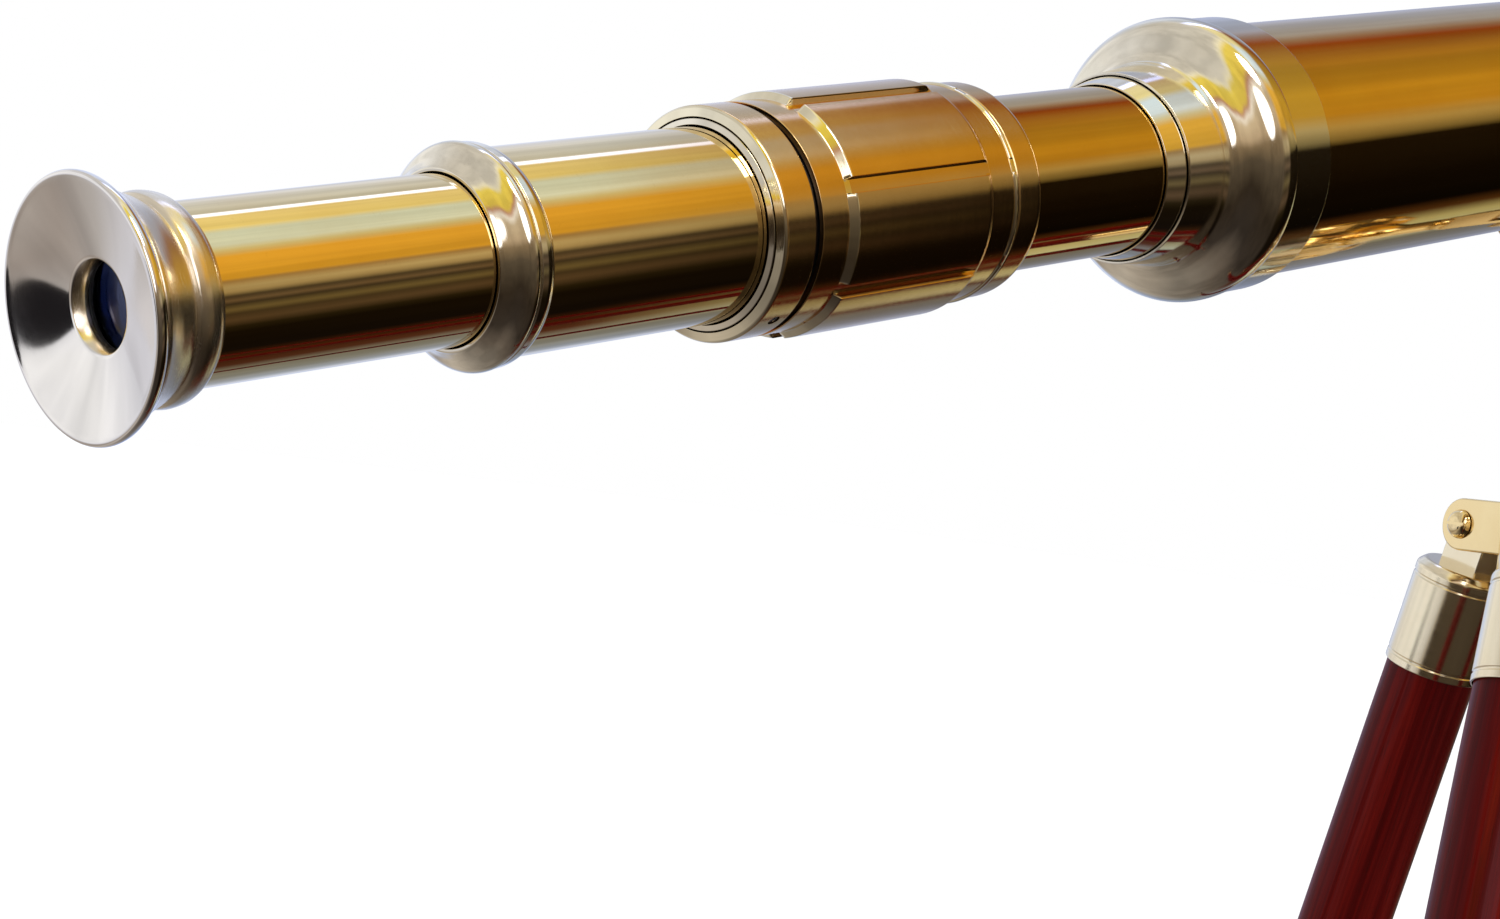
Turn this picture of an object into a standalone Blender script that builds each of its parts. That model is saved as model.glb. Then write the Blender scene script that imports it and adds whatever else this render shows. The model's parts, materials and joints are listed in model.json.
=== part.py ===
"""Brass draw-tube telescope with a helical focusing ring, on a folding mahogany tripod.

The telescope points towards +X and up, its eyepiece at -X, and the feet stand on Z = 0.
Turned parts are given in millimetres as (station, radius): a station is the distance
along the part's own axis. On the telescope that is the distance from the eyepiece rim
towards the objective, and on a leg it is the distance from the hinge pin to the foot.
"""

import math

import bmesh
import bpy
from mathutils import Matrix, Vector

MM = 0.001
GAP = 0.3

# Telescope tubes: outer radius, and the stations where each starts and ends.
TUBE_1_RADIUS = 15.6
TUBE_2_RADIUS = 19.15
TUBE_3_RADIUS = 18.85
BARREL_RADIUS = 29.9
DRAW_WALL = 0.8
BARREL_WALL = 1.0
TUBE_1_SPAN = (11.0, 99.0)
TUBE_2_SPAN = (84.6, 155.0)
TUBE_3_SPAN = (209.8, 311.0)
BARREL_SPAN = (290.3, 838.0)
SUNSHADE_SPAN = (800.0, 900.0)
SUNSHADE_RADIUS = 32.0
FRONT_RIM_RADIUS = 33.4
EYEPIECE_RADIUS = 22.5

# Fluted focusing ring.
LAND_RADIUS = 24.5
RING_BASE_RADIUS = 23.1
LAND_SPAN = (158.4, 197.8)
FLUTE_COUNT = 7
FLUTE_WIDTH = 3.0
FIRST_FLUTE_ANGLE = 164.2
SET_SCREW_ANGLE = 233.0

# Tripod. Heights on the head are above the leg hinges' level.
ELEVATION = 14.2
HINGE_HEIGHT = 1080.0
HEAD_STATION = 519.4
AXIS_RISE = 127.6
HINGE_REACH = 44.9
LEG_SPLAY = 16.2
LEG_AZIMUTHS = (74.7, 194.7, -45.3)
LEG_RADIUS = 13.5
LOWER_LEG_RADIUS = 8.0
FOOT_RADIUS = 8.0
FOOT_CENTRE_HEIGHT = 7.0
EAR_RADIUS = 7.8
HUB_RADIUS = 26.0
HUB_TOP = 8.0
HUB_BOTTOM = -22.0
PIVOT_DROP = 62.0
SADDLE_HALF_LENGTH = 18.0
LOCK_SCREW_AZIMUTH = 14.7

TUBE_SIDES = 32
SMALL_SIDES = 20

leg_length = (HINGE_HEIGHT - FOOT_CENTRE_HEIGHT) / math.cos(math.radians(LEG_SPLAY))
foot_reach = HINGE_REACH + leg_length * math.sin(math.radians(LEG_SPLAY))
pivot_rise = AXIS_RISE - PIVOT_DROP / math.cos(math.radians(ELEVATION))
cradle_station = HEAD_STATION - PIVOT_DROP * math.tan(math.radians(ELEVATION))


def clear_scene():
    for old in list(bpy.data.objects):
        bpy.data.objects.remove(old)


def new_collection(name, hidden=False):
    made = bpy.data.collections.new(name)
    bpy.context.scene.collection.children.link(made)
    made.hide_render = hidden
    return made


def material(name, colour, metallic, roughness):
    made = bpy.data.materials.new(name)
    made.use_nodes = True
    shader = made.node_tree.nodes["Principled BSDF"]
    shader.inputs["Base Color"].default_value = (*colour, 1.0)
    shader.inputs["Metallic"].default_value = metallic
    shader.inputs["Roughness"].default_value = roughness
    return made


clear_scene()
PARTS = new_collection("brass_telescope")
HELPERS = new_collection("helpers")

BRASS = material("polished_brass", (0.80, 0.56, 0.22), 1.0, 0.12)
PALE_BRASS = material("pale_brass", (0.86, 0.74, 0.48), 1.0, 0.18)
SATIN_BRASS = material("satin_brass", (0.70, 0.45, 0.20), 1.0, 0.35)
BLACK = material("black_lacquer", (0.02, 0.02, 0.022), 0.0, 0.4)
GLASS = material("glass", (0.75, 0.82, 0.9), 0.0, 0.05)
WOOD = material("mahogany", (0.22, 0.03, 0.02), 0.0, 0.25)
STEEL = material("blackened_steel", (0.08, 0.08, 0.09), 1.0, 0.4)


# Placing.
def axis_empty(name, location, z_axis, y_axis, parent=None):
    """An empty whose local Z and Y point along the two given world directions."""
    z = Vector(z_axis).normalized()
    y = Vector(y_axis).normalized()
    turn = Matrix((y.cross(z), y, z)).transposed().to_4x4()
    empty = bpy.data.objects.new(name, None)
    empty.empty_display_size = 0.02
    PARTS.objects.link(empty)
    empty.parent = parent
    world = Matrix.Translation(Vector(location)) @ turn
    empty.matrix_local = parent.matrix_world.inverted() @ world if parent else world
    bpy.context.view_layer.update()
    return empty


def place(obj, parent, look):
    obj.parent = parent
    obj.data.materials.append(look)
    return obj


def as_helper(obj):
    """Moves a cutter or a joined shape out of the parts, so that it isn't a part itself."""
    for home in list(obj.users_collection):
        home.objects.unlink(obj)
    HELPERS.objects.link(obj)
    obj.hide_render = True
    obj.display_type = "WIRE"
    return obj


def boolean(obj, other, operation):
    step = obj.modifiers.new(operation.lower(), "BOOLEAN")
    step.operation = operation
    step.object = as_helper(other)


def cut(obj, *cutters):
    for cutter in cutters:
        boolean(obj, cutter, "DIFFERENCE")


def join(obj, *others):
    for other in others:
        boolean(obj, other, "UNION")


# Shapes. Every one is made in its parent's frame, in millimetres.
def mesh_object(name, bm, parent, look):
    mesh = bpy.data.meshes.new(name)
    bm.to_mesh(mesh)
    bm.free()
    obj = bpy.data.objects.new(name, mesh)
    PARTS.objects.link(obj)
    return place(obj, parent, look)


def screwed(name, points, closed, parent, look, sides):
    """Turns (station, radius) points about local Z, listed so that the faces point out."""
    mesh = bpy.data.meshes.new(name)
    points = list(reversed(points))
    edges = [(i, i + 1) for i in range(len(points) - 1)]
    if closed:
        edges.append((len(points) - 1, 0))
    mesh.from_pydata([(r * MM, 0, z * MM) for z, r in points], edges, [])
    obj = bpy.data.objects.new(name, mesh)
    PARTS.objects.link(obj)
    place(obj, parent, look)
    turn = obj.modifiers.new("turn", "SCREW")
    turn.axis = "Z"
    turn.steps = turn.render_steps = sides
    turn.use_merge_vertices = True
    turn.merge_threshold = 0.00001
    turn.use_smooth_shade = True
    return obj


def turned_ring(name, loop, parent, look, sides=TUBE_SIDES):
    """A turned part with a hole: front inner edge, front face, outside, back face, inside."""
    return screwed(name, loop, True, parent, look, sides)


def turned_solid(name, outline, parent, look, sides=SMALL_SIDES):
    """A turned part without a hole: its outline runs from the axis back to the axis."""
    return screwed(name, outline, False, parent, look, sides)


def tube(name, span, outer, inner, parent, look, sides=TUBE_SIDES):
    start, end = span
    loop = [(start, inner), (start, outer), (end, outer), (end, inner)]
    return turned_ring(name, loop, parent, look, sides)


def lens(name, front, back, radius, bulges, parent, sides=SMALL_SIDES):
    """A lens whose edge runs from front to back; each bulge is its face's height at the axis."""
    front_bulge, back_bulge = bulges
    fractions = (0.0, 0.5, 1.0)
    face = [(front - front_bulge * (1 - f * f), radius * f) for f in fractions]
    rear = [(back + back_bulge * (1 - f * f), radius * f) for f in reversed(fractions)]
    return turned_solid(name, face + rear, parent, GLASS, sides)


def arc(centre, radius, start, end, count):
    """count + 1 points on a circle, from the start angle to the end angle in degrees."""
    angles = (math.radians(start + (end - start) * i / count) for i in range(count + 1))
    return [(centre[0] + radius * math.cos(a), centre[1] + radius * math.sin(a)) for a in angles]


def plate(name, outline, thickness, frame, parent, look):
    """A flat outline in the local XY plane of frame, thick half each way along its Z."""
    curve = bpy.data.curves.new(name, "CURVE")
    curve.dimensions = "2D"
    curve.fill_mode = "BOTH"
    curve.extrude = thickness * MM / 2
    spline = curve.splines.new("POLY")
    spline.points.add(len(outline) - 1)
    for point, (x, y) in zip(spline.points, outline):
        point.co = (x * MM, y * MM, 0, 1)
    spline.use_cyclic_u = True
    flat = bpy.data.objects.new(name, curve)
    PARTS.objects.link(flat)
    bpy.context.view_layer.update()
    mesh = bpy.data.meshes.new_from_object(flat.evaluated_get(bpy.context.evaluated_depsgraph_get()))
    bpy.data.objects.remove(flat)
    bm = bmesh.new()
    bm.from_mesh(mesh)
    bpy.data.meshes.remove(mesh)
    bmesh.ops.remove_doubles(bm, verts=bm.verts, dist=0.00001)
    bmesh.ops.recalc_face_normals(bm, faces=bm.faces)
    bm.transform(frame)
    return mesh_object(name, bm, parent, look)


def rod(name, start, end, radius, parent, look, sides=12):
    """A plain cylinder between two points in the parent's frame."""
    start = Vector(start) * MM
    end = Vector(end) * MM
    along = end - start
    turn = along.to_track_quat("Z", "Y").to_matrix().to_4x4()
    place_at = Matrix.Translation((start + end) / 2) @ turn
    bm = bmesh.new()
    bmesh.ops.create_cone(
        bm, cap_ends=True, segments=sides, radius1=radius * MM, radius2=radius * MM,
        depth=along.length, matrix=place_at,
    )
    return mesh_object(name, bm, parent, look)


def box(name, low, high, parent, look):
    low = Vector(low) * MM
    high = Vector(high) * MM
    size = high - low
    where = Matrix.Translation((low + high) / 2) @ Matrix.Diagonal((*size, 1))
    bm = bmesh.new()
    bmesh.ops.create_cube(bm, size=1, matrix=where)
    return mesh_object(name, bm, parent, look)


def frame_of(x_axis, y_axis, origin=(0, 0, 0)):
    """The matrix of a drawing plane: its X and Y along two directions of the parent's frame."""
    x = Vector(x_axis)
    y = Vector(y_axis)
    turn = Matrix((x, y, x.cross(y))).transposed().to_4x4()
    return Matrix.Translation(Vector(origin) * MM) @ turn


def thumb_screw_outline(tip, shank_radius, collar, head_start, head_radius, head_length):
    """A screw from its tip out to a round thumb head, as (station, radius)."""
    head_end = head_start + head_length
    return [
        (tip, 0), (tip, shank_radius), (collar, shank_radius), (collar, head_radius * 0.6),
        (head_start, head_radius * 0.6), (head_start + 0.5, head_radius),
        (head_end - 1.0, head_radius), (head_end, head_radius * 0.8), (head_end, 0),
    ]


# Telescope optics and tubes.
def build_eyepiece(body):
    cup = [
        (3.8, 7.5), (2.2, 13.5), (0.7, 19.4), (0.1, 21.7), (0.6, EYEPIECE_RADIUS), (1.6, 22.4),
        (3.0, 20.9), (5.0, 19.6), (8.4, 18.2), (11.0, 17.2), (11.7, 17.9), (15.0, 18.0),
        (16.9, 16.8), (16.9, 15.9), (10.7, 15.9), (10.7, 10.3), (6.6, 10.3), (6.6, 7.5),
    ]
    turned_ring("eyepiece_cup", cup, body, PALE_BRASS)
    cell = [(6.9, 7.8), (6.9, 10.0), (36.0, 10.0), (36.0, 8.9), (7.5, 8.9), (7.5, 7.8)]
    turned_ring("eyepiece_cell", cell, body, BLACK, SMALL_SIDES)
    lens("eye_lens", 8.4, 10.2, 8.6, (0.5, 1.4), body)
    lens("field_lens", 32.0, 34.0, 8.6, (2.0, 0.0), body)


def build_draw_tube_1(body):
    tube("draw_tube_1", TUBE_1_SPAN, TUBE_1_RADIUS, TUBE_1_RADIUS - DRAW_WALL, body, BRASS)
    tube("tube_1_stop_ring", (95.0, 99.0), 18.0, TUBE_1_RADIUS + GAP, body, BRASS)
    holder = [
        (58.0, 11.2), (58.0, 12.0), (90.0, 12.0), (90.0, 14.5), (98.5, 14.5),
        (98.5, 12.0), (150.0, 12.0), (150.0, 11.2),
    ]
    turned_ring("erector_tube", holder, body, BLACK, SMALL_SIDES)
    lens("erector_lens_rear", 62.0, 64.5, 10.9, (0.0, 1.8), body)
    lens("erector_lens_front", 144.0, 146.5, 10.9, (1.8, 0.0), body)


def build_draw_tube_2(body):
    tube("draw_tube_2", TUBE_2_SPAN, TUBE_2_RADIUS, TUBE_2_RADIUS - DRAW_WALL, body, BRASS)
    ring = [
        (74.4, 15.9), (74.4, 16.6), (75.0, 17.0), (77.6, 20.2), (78.4, 20.9), (79.4, 20.9),
        (80.4, 20.5), (82.7, 20.6), (84.3, 19.4), (84.3, 18.05), (94.5, 18.05), (94.5, 15.9),
    ]
    turned_ring("tube_2_end_ring", ring, body, PALE_BRASS)
    tube("tube_2_stop_ring", (151.0, 155.0), 20.5, TUBE_2_RADIUS + GAP, body, BRASS)


def build_focus_carriage(body):
    collar = [
        (138.9, 20.9), (138.9, 22.7), (139.4, 23.1), (147.6, 23.1), (147.6, 22.0),
        (142.0, 22.0), (142.0, 20.9),
    ]
    shell = turned_ring("focus_collar", collar, body, SATIN_BRASS)
    tube("focus_collar_bush", (138.3, 150.5), 20.6, TUBE_2_RADIUS + GAP, body, PALE_BRASS)
    tube("focus_thread_sleeve", (142.3, 186.0), 21.7, 20.9, body, STEEL)
    angle = math.radians(SET_SCREW_ANGLE)
    out = Vector((-math.sin(angle), math.cos(angle), 0))
    at = Vector((0, 0, 144.2))
    cut(shell, rod("set_screw_hole", at + out * 21.85, at + out * 24, 1.3, body, STEEL))
    rod("focus_set_screw", at + out * 22.0, at + out * 22.9, 1.0, body, STEEL, 12)


def flute_cutters(body):
    """One cutter with a box for each flute round the ring."""
    start = LAND_SPAN[0] - 4
    end = LAND_SPAN[1] + 0.2
    size = Matrix.Diagonal((5 * MM, FLUTE_WIDTH * MM, (end - start) * MM, 1))
    bm = bmesh.new()
    for index in range(FLUTE_COUNT):
        angle = math.radians(FIRST_FLUTE_ANGLE + 90 + index * 360 / FLUTE_COUNT)
        spot = Vector(((RING_BASE_RADIUS + 2.55) * MM, 0, (start + end) / 2 * MM))
        bmesh.ops.create_cube(bm, matrix=Matrix.Rotation(angle, 4, "Z") @ Matrix.Translation(spot) @ size)
    return mesh_object("flutes", bm, body, SATIN_BRASS)


def build_focus_ring(body):
    base = RING_BASE_RADIUS
    loop = [
        (149.6, 22.0), (149.6, base), (LAND_SPAN[0] - 1.5, base), (LAND_SPAN[0], LAND_RADIUS),
        (LAND_SPAN[1], LAND_RADIUS), (LAND_SPAN[1] + 1.8, 22.9), (208.1, 22.9),
        (208.1, 22.0),
    ]
    ring = turned_ring("fluted_focus_ring", loop, body, SATIN_BRASS)
    cut(ring, flute_cutters(body))


def build_draw_tube_3(body):
    inner = TUBE_3_RADIUS + GAP
    tube("draw_tube_3", TUBE_3_SPAN, TUBE_3_RADIUS, TUBE_3_RADIUS - DRAW_WALL, body, BRASS)
    ring = [
        (198.0, 20.9), (198.0, 21.7), (208.5, 21.7), (208.5, 22.8), (215.3, 22.8),
        (216.8, 21.8), (217.5, 20.2), (217.5, inner), (209.5, inner), (209.5, 20.9),
    ]
    turned_ring("focus_end_ring", ring, body, SATIN_BRASS)
    tube("tube_3_stop_ring", (307.0, 311.0), 21.0, inner, body, BRASS)


def build_barrel(body):
    inner = BARREL_RADIUS - BARREL_WALL
    tube("main_barrel", BARREL_SPAN, BARREL_RADIUS, inner, body, BRASS, 36)
    collar = [
        (269.1, 20.9), (269.1, 21.5), (281.5, 22.8), (283.6, 24.6), (285.2, 27.7),
        (287.4, 31.0), (290.5, 32.6), (294.8, 32.5), (295.1, 32.0), (308.8, 32.0),
        (308.8, 30.2), (290.0, 30.2), (290.0, 28.2), (305.0, 28.2), (305.0, 20.9),
    ]
    turned_ring("barrel_end_collar", collar, body, PALE_BRASS, 36)
    bush_bore = TUBE_3_RADIUS + GAP
    bush = [(263.5, bush_bore), (263.5, 19.5), (268.9, 20.6), (305.0, 20.6), (305.0, bush_bore)]
    turned_ring("barrel_bush", bush, body, PALE_BRASS)


def build_objective(body):
    cell = [
        (815.0, 25.5), (815.0, 28.6), (838.3, 28.6), (838.3, 29.9), (846.0, 29.9),
        (846.0, 27.2), (821.0, 27.2), (821.0, 25.5),
    ]
    turned_ring("objective_cell", cell, body, BRASS, 36)
    lens("flint_lens", 821.3, 830.0, 26.9, (0.0, 0.0), body, 32)
    lens("crown_lens", 830.3, 838.0, 26.9, (0.0, 1.8), body, 32)
    tube("lens_retaining_ring", (838.3, 842.5), 26.9, 24.5, body, BLACK)


def build_sunshade(body):
    start, end = SUNSHADE_SPAN
    tube("sunshade", (start + 8.3, end - 8.3), SUNSHADE_RADIUS, 31.2, body, BRASS, 36)
    rear = [
        (start, 30.3), (start, 31.6), (start + 2.5, 33.0), (start + 6, 33.0),
        (start + 8, 32.2), (start + 8, 30.9), (start + 11, 30.9), (start + 11, 30.3),
    ]
    turned_ring("sunshade_slide_ring", rear, body, BRASS, 36)
    front = [
        (end - 11, 30.2), (end - 11, 30.9), (end - 8, 30.9), (end - 8, 32.4),
        (end - 5.5, FRONT_RIM_RADIUS), (end, FRONT_RIM_RADIUS), (end, 30.2),
    ]
    turned_ring("sunshade_front_ring", front, body, BRASS, 36)


# The cradle's frame lies on the telescope's axis, with X along it, so z is negative below.
def build_cradle(body):
    seat = BARREL_RADIUS + GAP
    side = seat * math.cos(math.asin(10 / seat))
    outline = [(-side, -10), (-41, -10), (-41, -21), (-27, -40), (-12, -46)]
    outline += [(-x, y) for x, y in reversed(outline)]
    first = math.degrees(math.asin(-10 / seat))
    outline += arc((0, 0), seat, first, -180 - first, 14)[1:-1]
    across = frame_of((0, 1, 0), (0, 0, 1))
    saddle = plate("saddle", outline, 2 * SADDLE_HALF_LENGTH, across, body, BRASS)
    tongue = [(-11, -42), (-11, -PIVOT_DROP)]
    tongue += arc((0, -PIVOT_DROP), 11, 180, 360, 10)[1:-1] + [(11, -PIVOT_DROP), (11, -42)]
    upright = frame_of((1, 0, 0), (0, 0, 1))
    join(saddle, plate("tongue", tongue, 12, upright, body, BRASS))
    pivot = (0, -20, -PIVOT_DROP), (0, 20, -PIVOT_DROP)
    cut(saddle, rod("pivot_hole", *pivot, 3.4, body, BRASS))

    top = -9.7
    side = seat * math.cos(math.asin(9.7 / seat))
    crown = BARREL_RADIUS + 2.6
    flange = -6.5
    band_outline = [(side, top), (41, top), (41, flange)]
    start = math.degrees(math.asin(flange / crown))
    band_outline += arc((0, 0), crown, start, 180 - start, 18)
    band_outline += [(-41, flange), (-41, top), (-side, top)]
    low = math.degrees(math.asin(top / seat))
    band_outline += arc((0, 0), seat, 180 - low, low, 18)[1:-1]
    band = plate("barrel_band", band_outline, 2 * SADDLE_HALF_LENGTH - 1, across, body, BRASS)
    for name, y in (("band_screw_left", 37), ("band_screw_right", -37)):
        for part in (saddle, band):
            cut(part, rod(f"{name}_hole", (0, y, -19.5), (0, y, 0), 2.3, body, BRASS))
        screw = [(-19, 0), (-19, 2), (-6.2, 2), (-6.2, 3.6), (-4.2, 3.6), (-3.0, 2.4), (-3.0, 0)]
        made = turned_solid(name, screw, body, BRASS, 12)
        made.location = (0, y * MM, 0)


# The pan head, the tripod head and its pins are in the world's directions, centred on the
# tripod's own axis at the leg hinges' level.
def build_pan_head(body):
    flange = HUB_TOP + GAP
    pivot = pivot_rise
    outline = [
        (HUB_BOTTOM, 0), (HUB_BOTTOM, 8), (flange, 8), (flange, 20), (flange + 3.2, 20),
        (flange + 5.7, 17), (flange + 8.7, 12.5), (pivot - 28.5, 11.0), (pivot - 27.5, 9.5),
        (pivot - 18, 9.5), (pivot - 18, 0),
    ]
    post = turned_solid("pan_post", outline, body, BRASS)
    block = box("fork_base", (-10.5, -12.4, pivot - 28), (10.5, 12.4, pivot - 13), body, BRASS)
    ear = [(-10.5, pivot - 16), (10.5, pivot - 16), (10.5, pivot)]
    ear += arc((0, pivot), 10.5, 0, 180, 10)[1:-1] + [(-10.5, pivot)]
    ears = []
    for side in (-1, 1):
        upright = frame_of((1, 0, 0), (0, 0, 1), (0, side * 9.4, 0))
        ears.append(plate("ear", ear, 5.8, upright, body, BRASS))
    join(post, block, *ears)
    cut(post, rod("pivot_hole", (0, -20, pivot), (0, 20, pivot), 3.4, body, BRASS))
    bolt = [(-16.4, 0), (-16.4, 4.0), (-15.4, 5.6), (-12.7, 5.6), (-12.7, 3.0), (21.5, 3.0), (21.5, 0)]
    pin = turned_solid("tilt_bolt", bolt, body, BRASS, 12)
    pin.rotation_euler = (-math.pi / 2, 0, 0)
    pin.location = (0, 0, pivot * MM)


def build_tilt_knob(body):
    """A round knob on the tilt bolt's end, in a frame whose Z runs along the bolt."""
    knob = [
        (12.7, 3.3), (12.7, 6.0), (14.5, 6.0), (15.0, 9.5), (20.5, 9.5), (22.0, 8.0), (22.0, 3.3),
    ]
    turned_ring("tilt_knob", knob, body, BRASS, 16)


def build_pan_lock(body):
    outline = thumb_screw_outline(8.3, 2.5, 27.0, 31.0, 8.0, 6.0)
    turned_solid("pan_lock_screw", outline, body, BRASS, 16)


def build_tripod_head(body):
    loop = [
        (HUB_BOTTOM, 8.3), (HUB_BOTTOM, 21), (HUB_BOTTOM + 5, HUB_RADIUS),
        (HUB_TOP - 1.5, HUB_RADIUS), (HUB_TOP, 24.5), (HUB_TOP, 8.3),
    ]
    hub = turned_ring("tripod_head", loop, body, BRASS)
    for number, azimuth in enumerate(LEG_AZIMUTHS, 1):
        angle = math.radians(azimuth)
        out = Vector((math.cos(angle), math.sin(angle), 0))
        across = Vector((-out.y, out.x, 0))
        hinge = out * HINGE_REACH
        outline = [(-22, -EAR_RADIUS)] + arc((0, 0), EAR_RADIUS, -90, 90, 8) + [(-22, EAR_RADIUS)]
        for side in (-6.3, 6.3):
            where = frame_of(out, (0, 0, 1), hinge + across * side)
            join(hub, plate("ear", outline, 4, where, body, BRASS))
        ends = hinge - across * 12, hinge + across * 12
        cut(hub, rod("leg_pin_hole", *ends, 2.8, body, BRASS))
        pin = [
            (-11.4, 0), (-11.2, 2.4), (-10.2, 3.8), (-8.6, 4.4), (-8.6, 2.4),
            (8.6, 2.4), (8.6, 4.4), (10.2, 3.8), (11.2, 2.4), (11.4, 0),
        ]
        made = turned_solid(f"leg_pin_{number}", pin, body, BRASS, 12)
        made.location = hinge * MM
        made.rotation_euler = across.to_track_quat("Z", "Y").to_euler()
    angle = math.radians(LOCK_SCREW_AZIMUTH)
    out = Vector((math.cos(angle), math.sin(angle), 0))
    at = Vector((0, 0, (HUB_TOP + HUB_BOTTOM) / 2))
    cut(hub, rod("lock_screw_hole", at + out * 5, at + out * 30, 2.9, body, BRASS))


# Legs, each in a frame with Z from the hinge pin down the leg and Y along the pin.
def build_upper_leg(number, body):
    ferrule = [
        (17.0, 0), (13.2, 0), (13.2, 12.4), (15.2, 14.4), (45.9, 14.4), (45.9, 13.8), (17.0, 13.8),
    ]
    cap = turned_solid(f"leg_cap_{number}", ferrule[1:] + ferrule[:1], body, BRASS, 16)
    side = EAR_RADIUS
    outline = [(side, 15), (side, 0)] + arc((0, 0), side, 0, -180, 8)[1:-1] + [(-side, 0), (-side, 15)]
    join(cap, plate("tongue", outline, 8, frame_of((1, 0, 0), (0, 0, 1)), body, BRASS))
    cut(cap, rod("pin_hole", (0, -8, 0), (0, 8, 0), 2.7, body, BRASS))
    wood = [
        (17.3, 0), (17.3, LEG_RADIUS), (640.0, LEG_RADIUS), (640.0, 8.6), (150.0, 8.6), (150.0, 0),
    ]
    turned_solid(f"upper_leg_{number}", wood, body, WOOD, 16)
    clamp = [
        (622.0, 13.8), (622.0, 14.6), (624.0, 15.6), (655.0, 15.6), (658.0, 13.5),
        (658.0, 8.4), (640.3, 8.4), (640.3, 13.8),
    ]
    collar = turned_ring(f"leg_clamp_{number}", clamp, body, BRASS, 16)
    join(collar, rod("boss", (-10, 0, 648), (-18.5, 0, 648), 5.0, body, BRASS))
    bore = rod("lower_leg_bore", (0, 0, 635), (0, 0, 665), 8.4, body, BRASS, 16)
    cut(collar, bore, rod("clamp_screw_hole", (-5, 0, 648), (-21, 0, 648), 2.8, body, BRASS))


def build_lower_leg(number, body):
    wood = [(560.0, 0), (560.0, LOWER_LEG_RADIUS), (leg_length - 22, LOWER_LEG_RADIUS), (leg_length - 22, 0)]
    turned_solid(f"lower_leg_{number}", wood, body, WOOD, 12)
    ball = arc((leg_length, 0), FOOT_RADIUS, 0, 90, 5)
    ferrule = [
        (leg_length - 21.7, 0), (leg_length - 21.7, LOWER_LEG_RADIUS + GAP),
        (leg_length - 45, LOWER_LEG_RADIUS + GAP), (leg_length - 45, 9.0),
        (leg_length - 14, 9.0), (leg_length - 10, 6.5), (leg_length - 4, 6.9),
    ]
    foot = turned_solid(f"foot_{number}", ferrule + list(reversed(ball)), body, BRASS, 16)
    return foot


def build_leg_screw(number, body):
    outline = thumb_screw_outline(8.6, 2.4, 18.8, 21.0, 7.0, 6.0)
    turned_solid(f"leg_screw_{number}", outline, body, BRASS, 14)


def build_legs(origin):
    floor = box("floor_cutter", (-700, -700, -20), (700, 700, 0), None, BRASS)
    for number, azimuth in enumerate(LEG_AZIMUTHS, 1):
        angle = math.radians(azimuth)
        splay = math.radians(LEG_SPLAY)
        out = Vector((math.cos(angle), math.sin(angle), 0))
        pin_line = Vector((-out.y, out.x, 0))
        down = out * math.sin(splay) - Vector((0, 0, math.cos(splay)))
        hinge = origin + out * HINGE_REACH * MM
        fold = axis_empty(f"leg_fold_{number}", hinge, down, pin_line)
        build_upper_leg(number, fold)
        slide = axis_empty(f"leg_slide_{number}", hinge, down, pin_line, fold)
        foot = build_lower_leg(number, slide)
        cut(foot, floor)
        screw_at = hinge + down * 648 * MM
        outward = pin_line.cross(down) * -1
        screw = axis_empty(f"leg_screw_axis_{number}", screw_at, outward, pin_line, fold)
        build_leg_screw(number, screw)


def shade_smooth():
    for obj in PARTS.objects:
        if obj.type == "MESH":
            obj.data.shade_smooth()


def build():
    tilt = math.radians(ELEVATION)
    forward = Vector((math.cos(tilt), 0, math.sin(tilt)))
    up = Vector((-math.sin(tilt), 0, math.cos(tilt)))
    left = Vector((0, 1, 0))
    upright = Vector((0, 0, 1))
    front = SUNSHADE_SPAN[1] - HEAD_STATION
    rims = (FRONT_RIM_RADIUS - EYEPIECE_RADIUS) * math.sin(tilt)
    middle_x = ((front - HEAD_STATION) * math.cos(tilt) + rims) / 2
    sides = [foot_reach * math.sin(math.radians(LEG_AZIMUTHS[i])) for i in (0, 2)]
    centre = Vector((-middle_x, -sum(sides) / 2, HINGE_HEIGHT)) * MM
    above = centre + upright * AXIS_RISE * MM
    rim = above - forward * HEAD_STATION * MM
    pivot = centre + upright * pivot_rise * MM

    pan_axis = axis_empty("pan_axis", centre, upright, left)
    tilt_axis = axis_empty("tilt_axis", pivot, up, left, pan_axis)
    cradle_centre = rim + forward * cradle_station * MM
    build_cradle(axis_empty("cradle_frame", cradle_centre, up, left, tilt_axis))
    telescope = axis_empty("telescope_axis", rim, forward, left, tilt_axis)
    build_barrel(telescope)
    build_objective(telescope)
    build_sunshade(axis_empty("sunshade_slide", rim, forward, left, telescope))
    draw_3 = axis_empty("draw_3_slide", rim, forward, left, telescope)
    build_draw_tube_3(draw_3)
    build_focus_ring(axis_empty("focus_turn", rim, forward, left, draw_3))
    carriage = axis_empty("focus_travel", rim, forward, left, draw_3)
    build_focus_carriage(carriage)
    draw_2 = axis_empty("draw_2_slide", rim, forward, left, carriage)
    build_draw_tube_2(draw_2)
    draw_1 = axis_empty("draw_1_slide", rim, forward, left, draw_2)
    build_draw_tube_1(draw_1)
    build_eyepiece(draw_1)

    build_pan_head(pan_axis)
    build_tilt_knob(axis_empty("tilt_knob_axis", pivot, left, -upright, pan_axis))
    head = axis_empty("tripod_head_frame", centre, upright, left)
    build_tripod_head(head)
    angle = math.radians(LOCK_SCREW_AZIMUTH)
    out = Vector((math.cos(angle), math.sin(angle), 0))
    lock_at = centre + upright * (HUB_TOP + HUB_BOTTOM) / 2 * MM
    build_pan_lock(axis_empty("pan_lock_axis", lock_at, out, upright, head))
    build_legs(centre)
    shade_smooth()


build()
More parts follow.
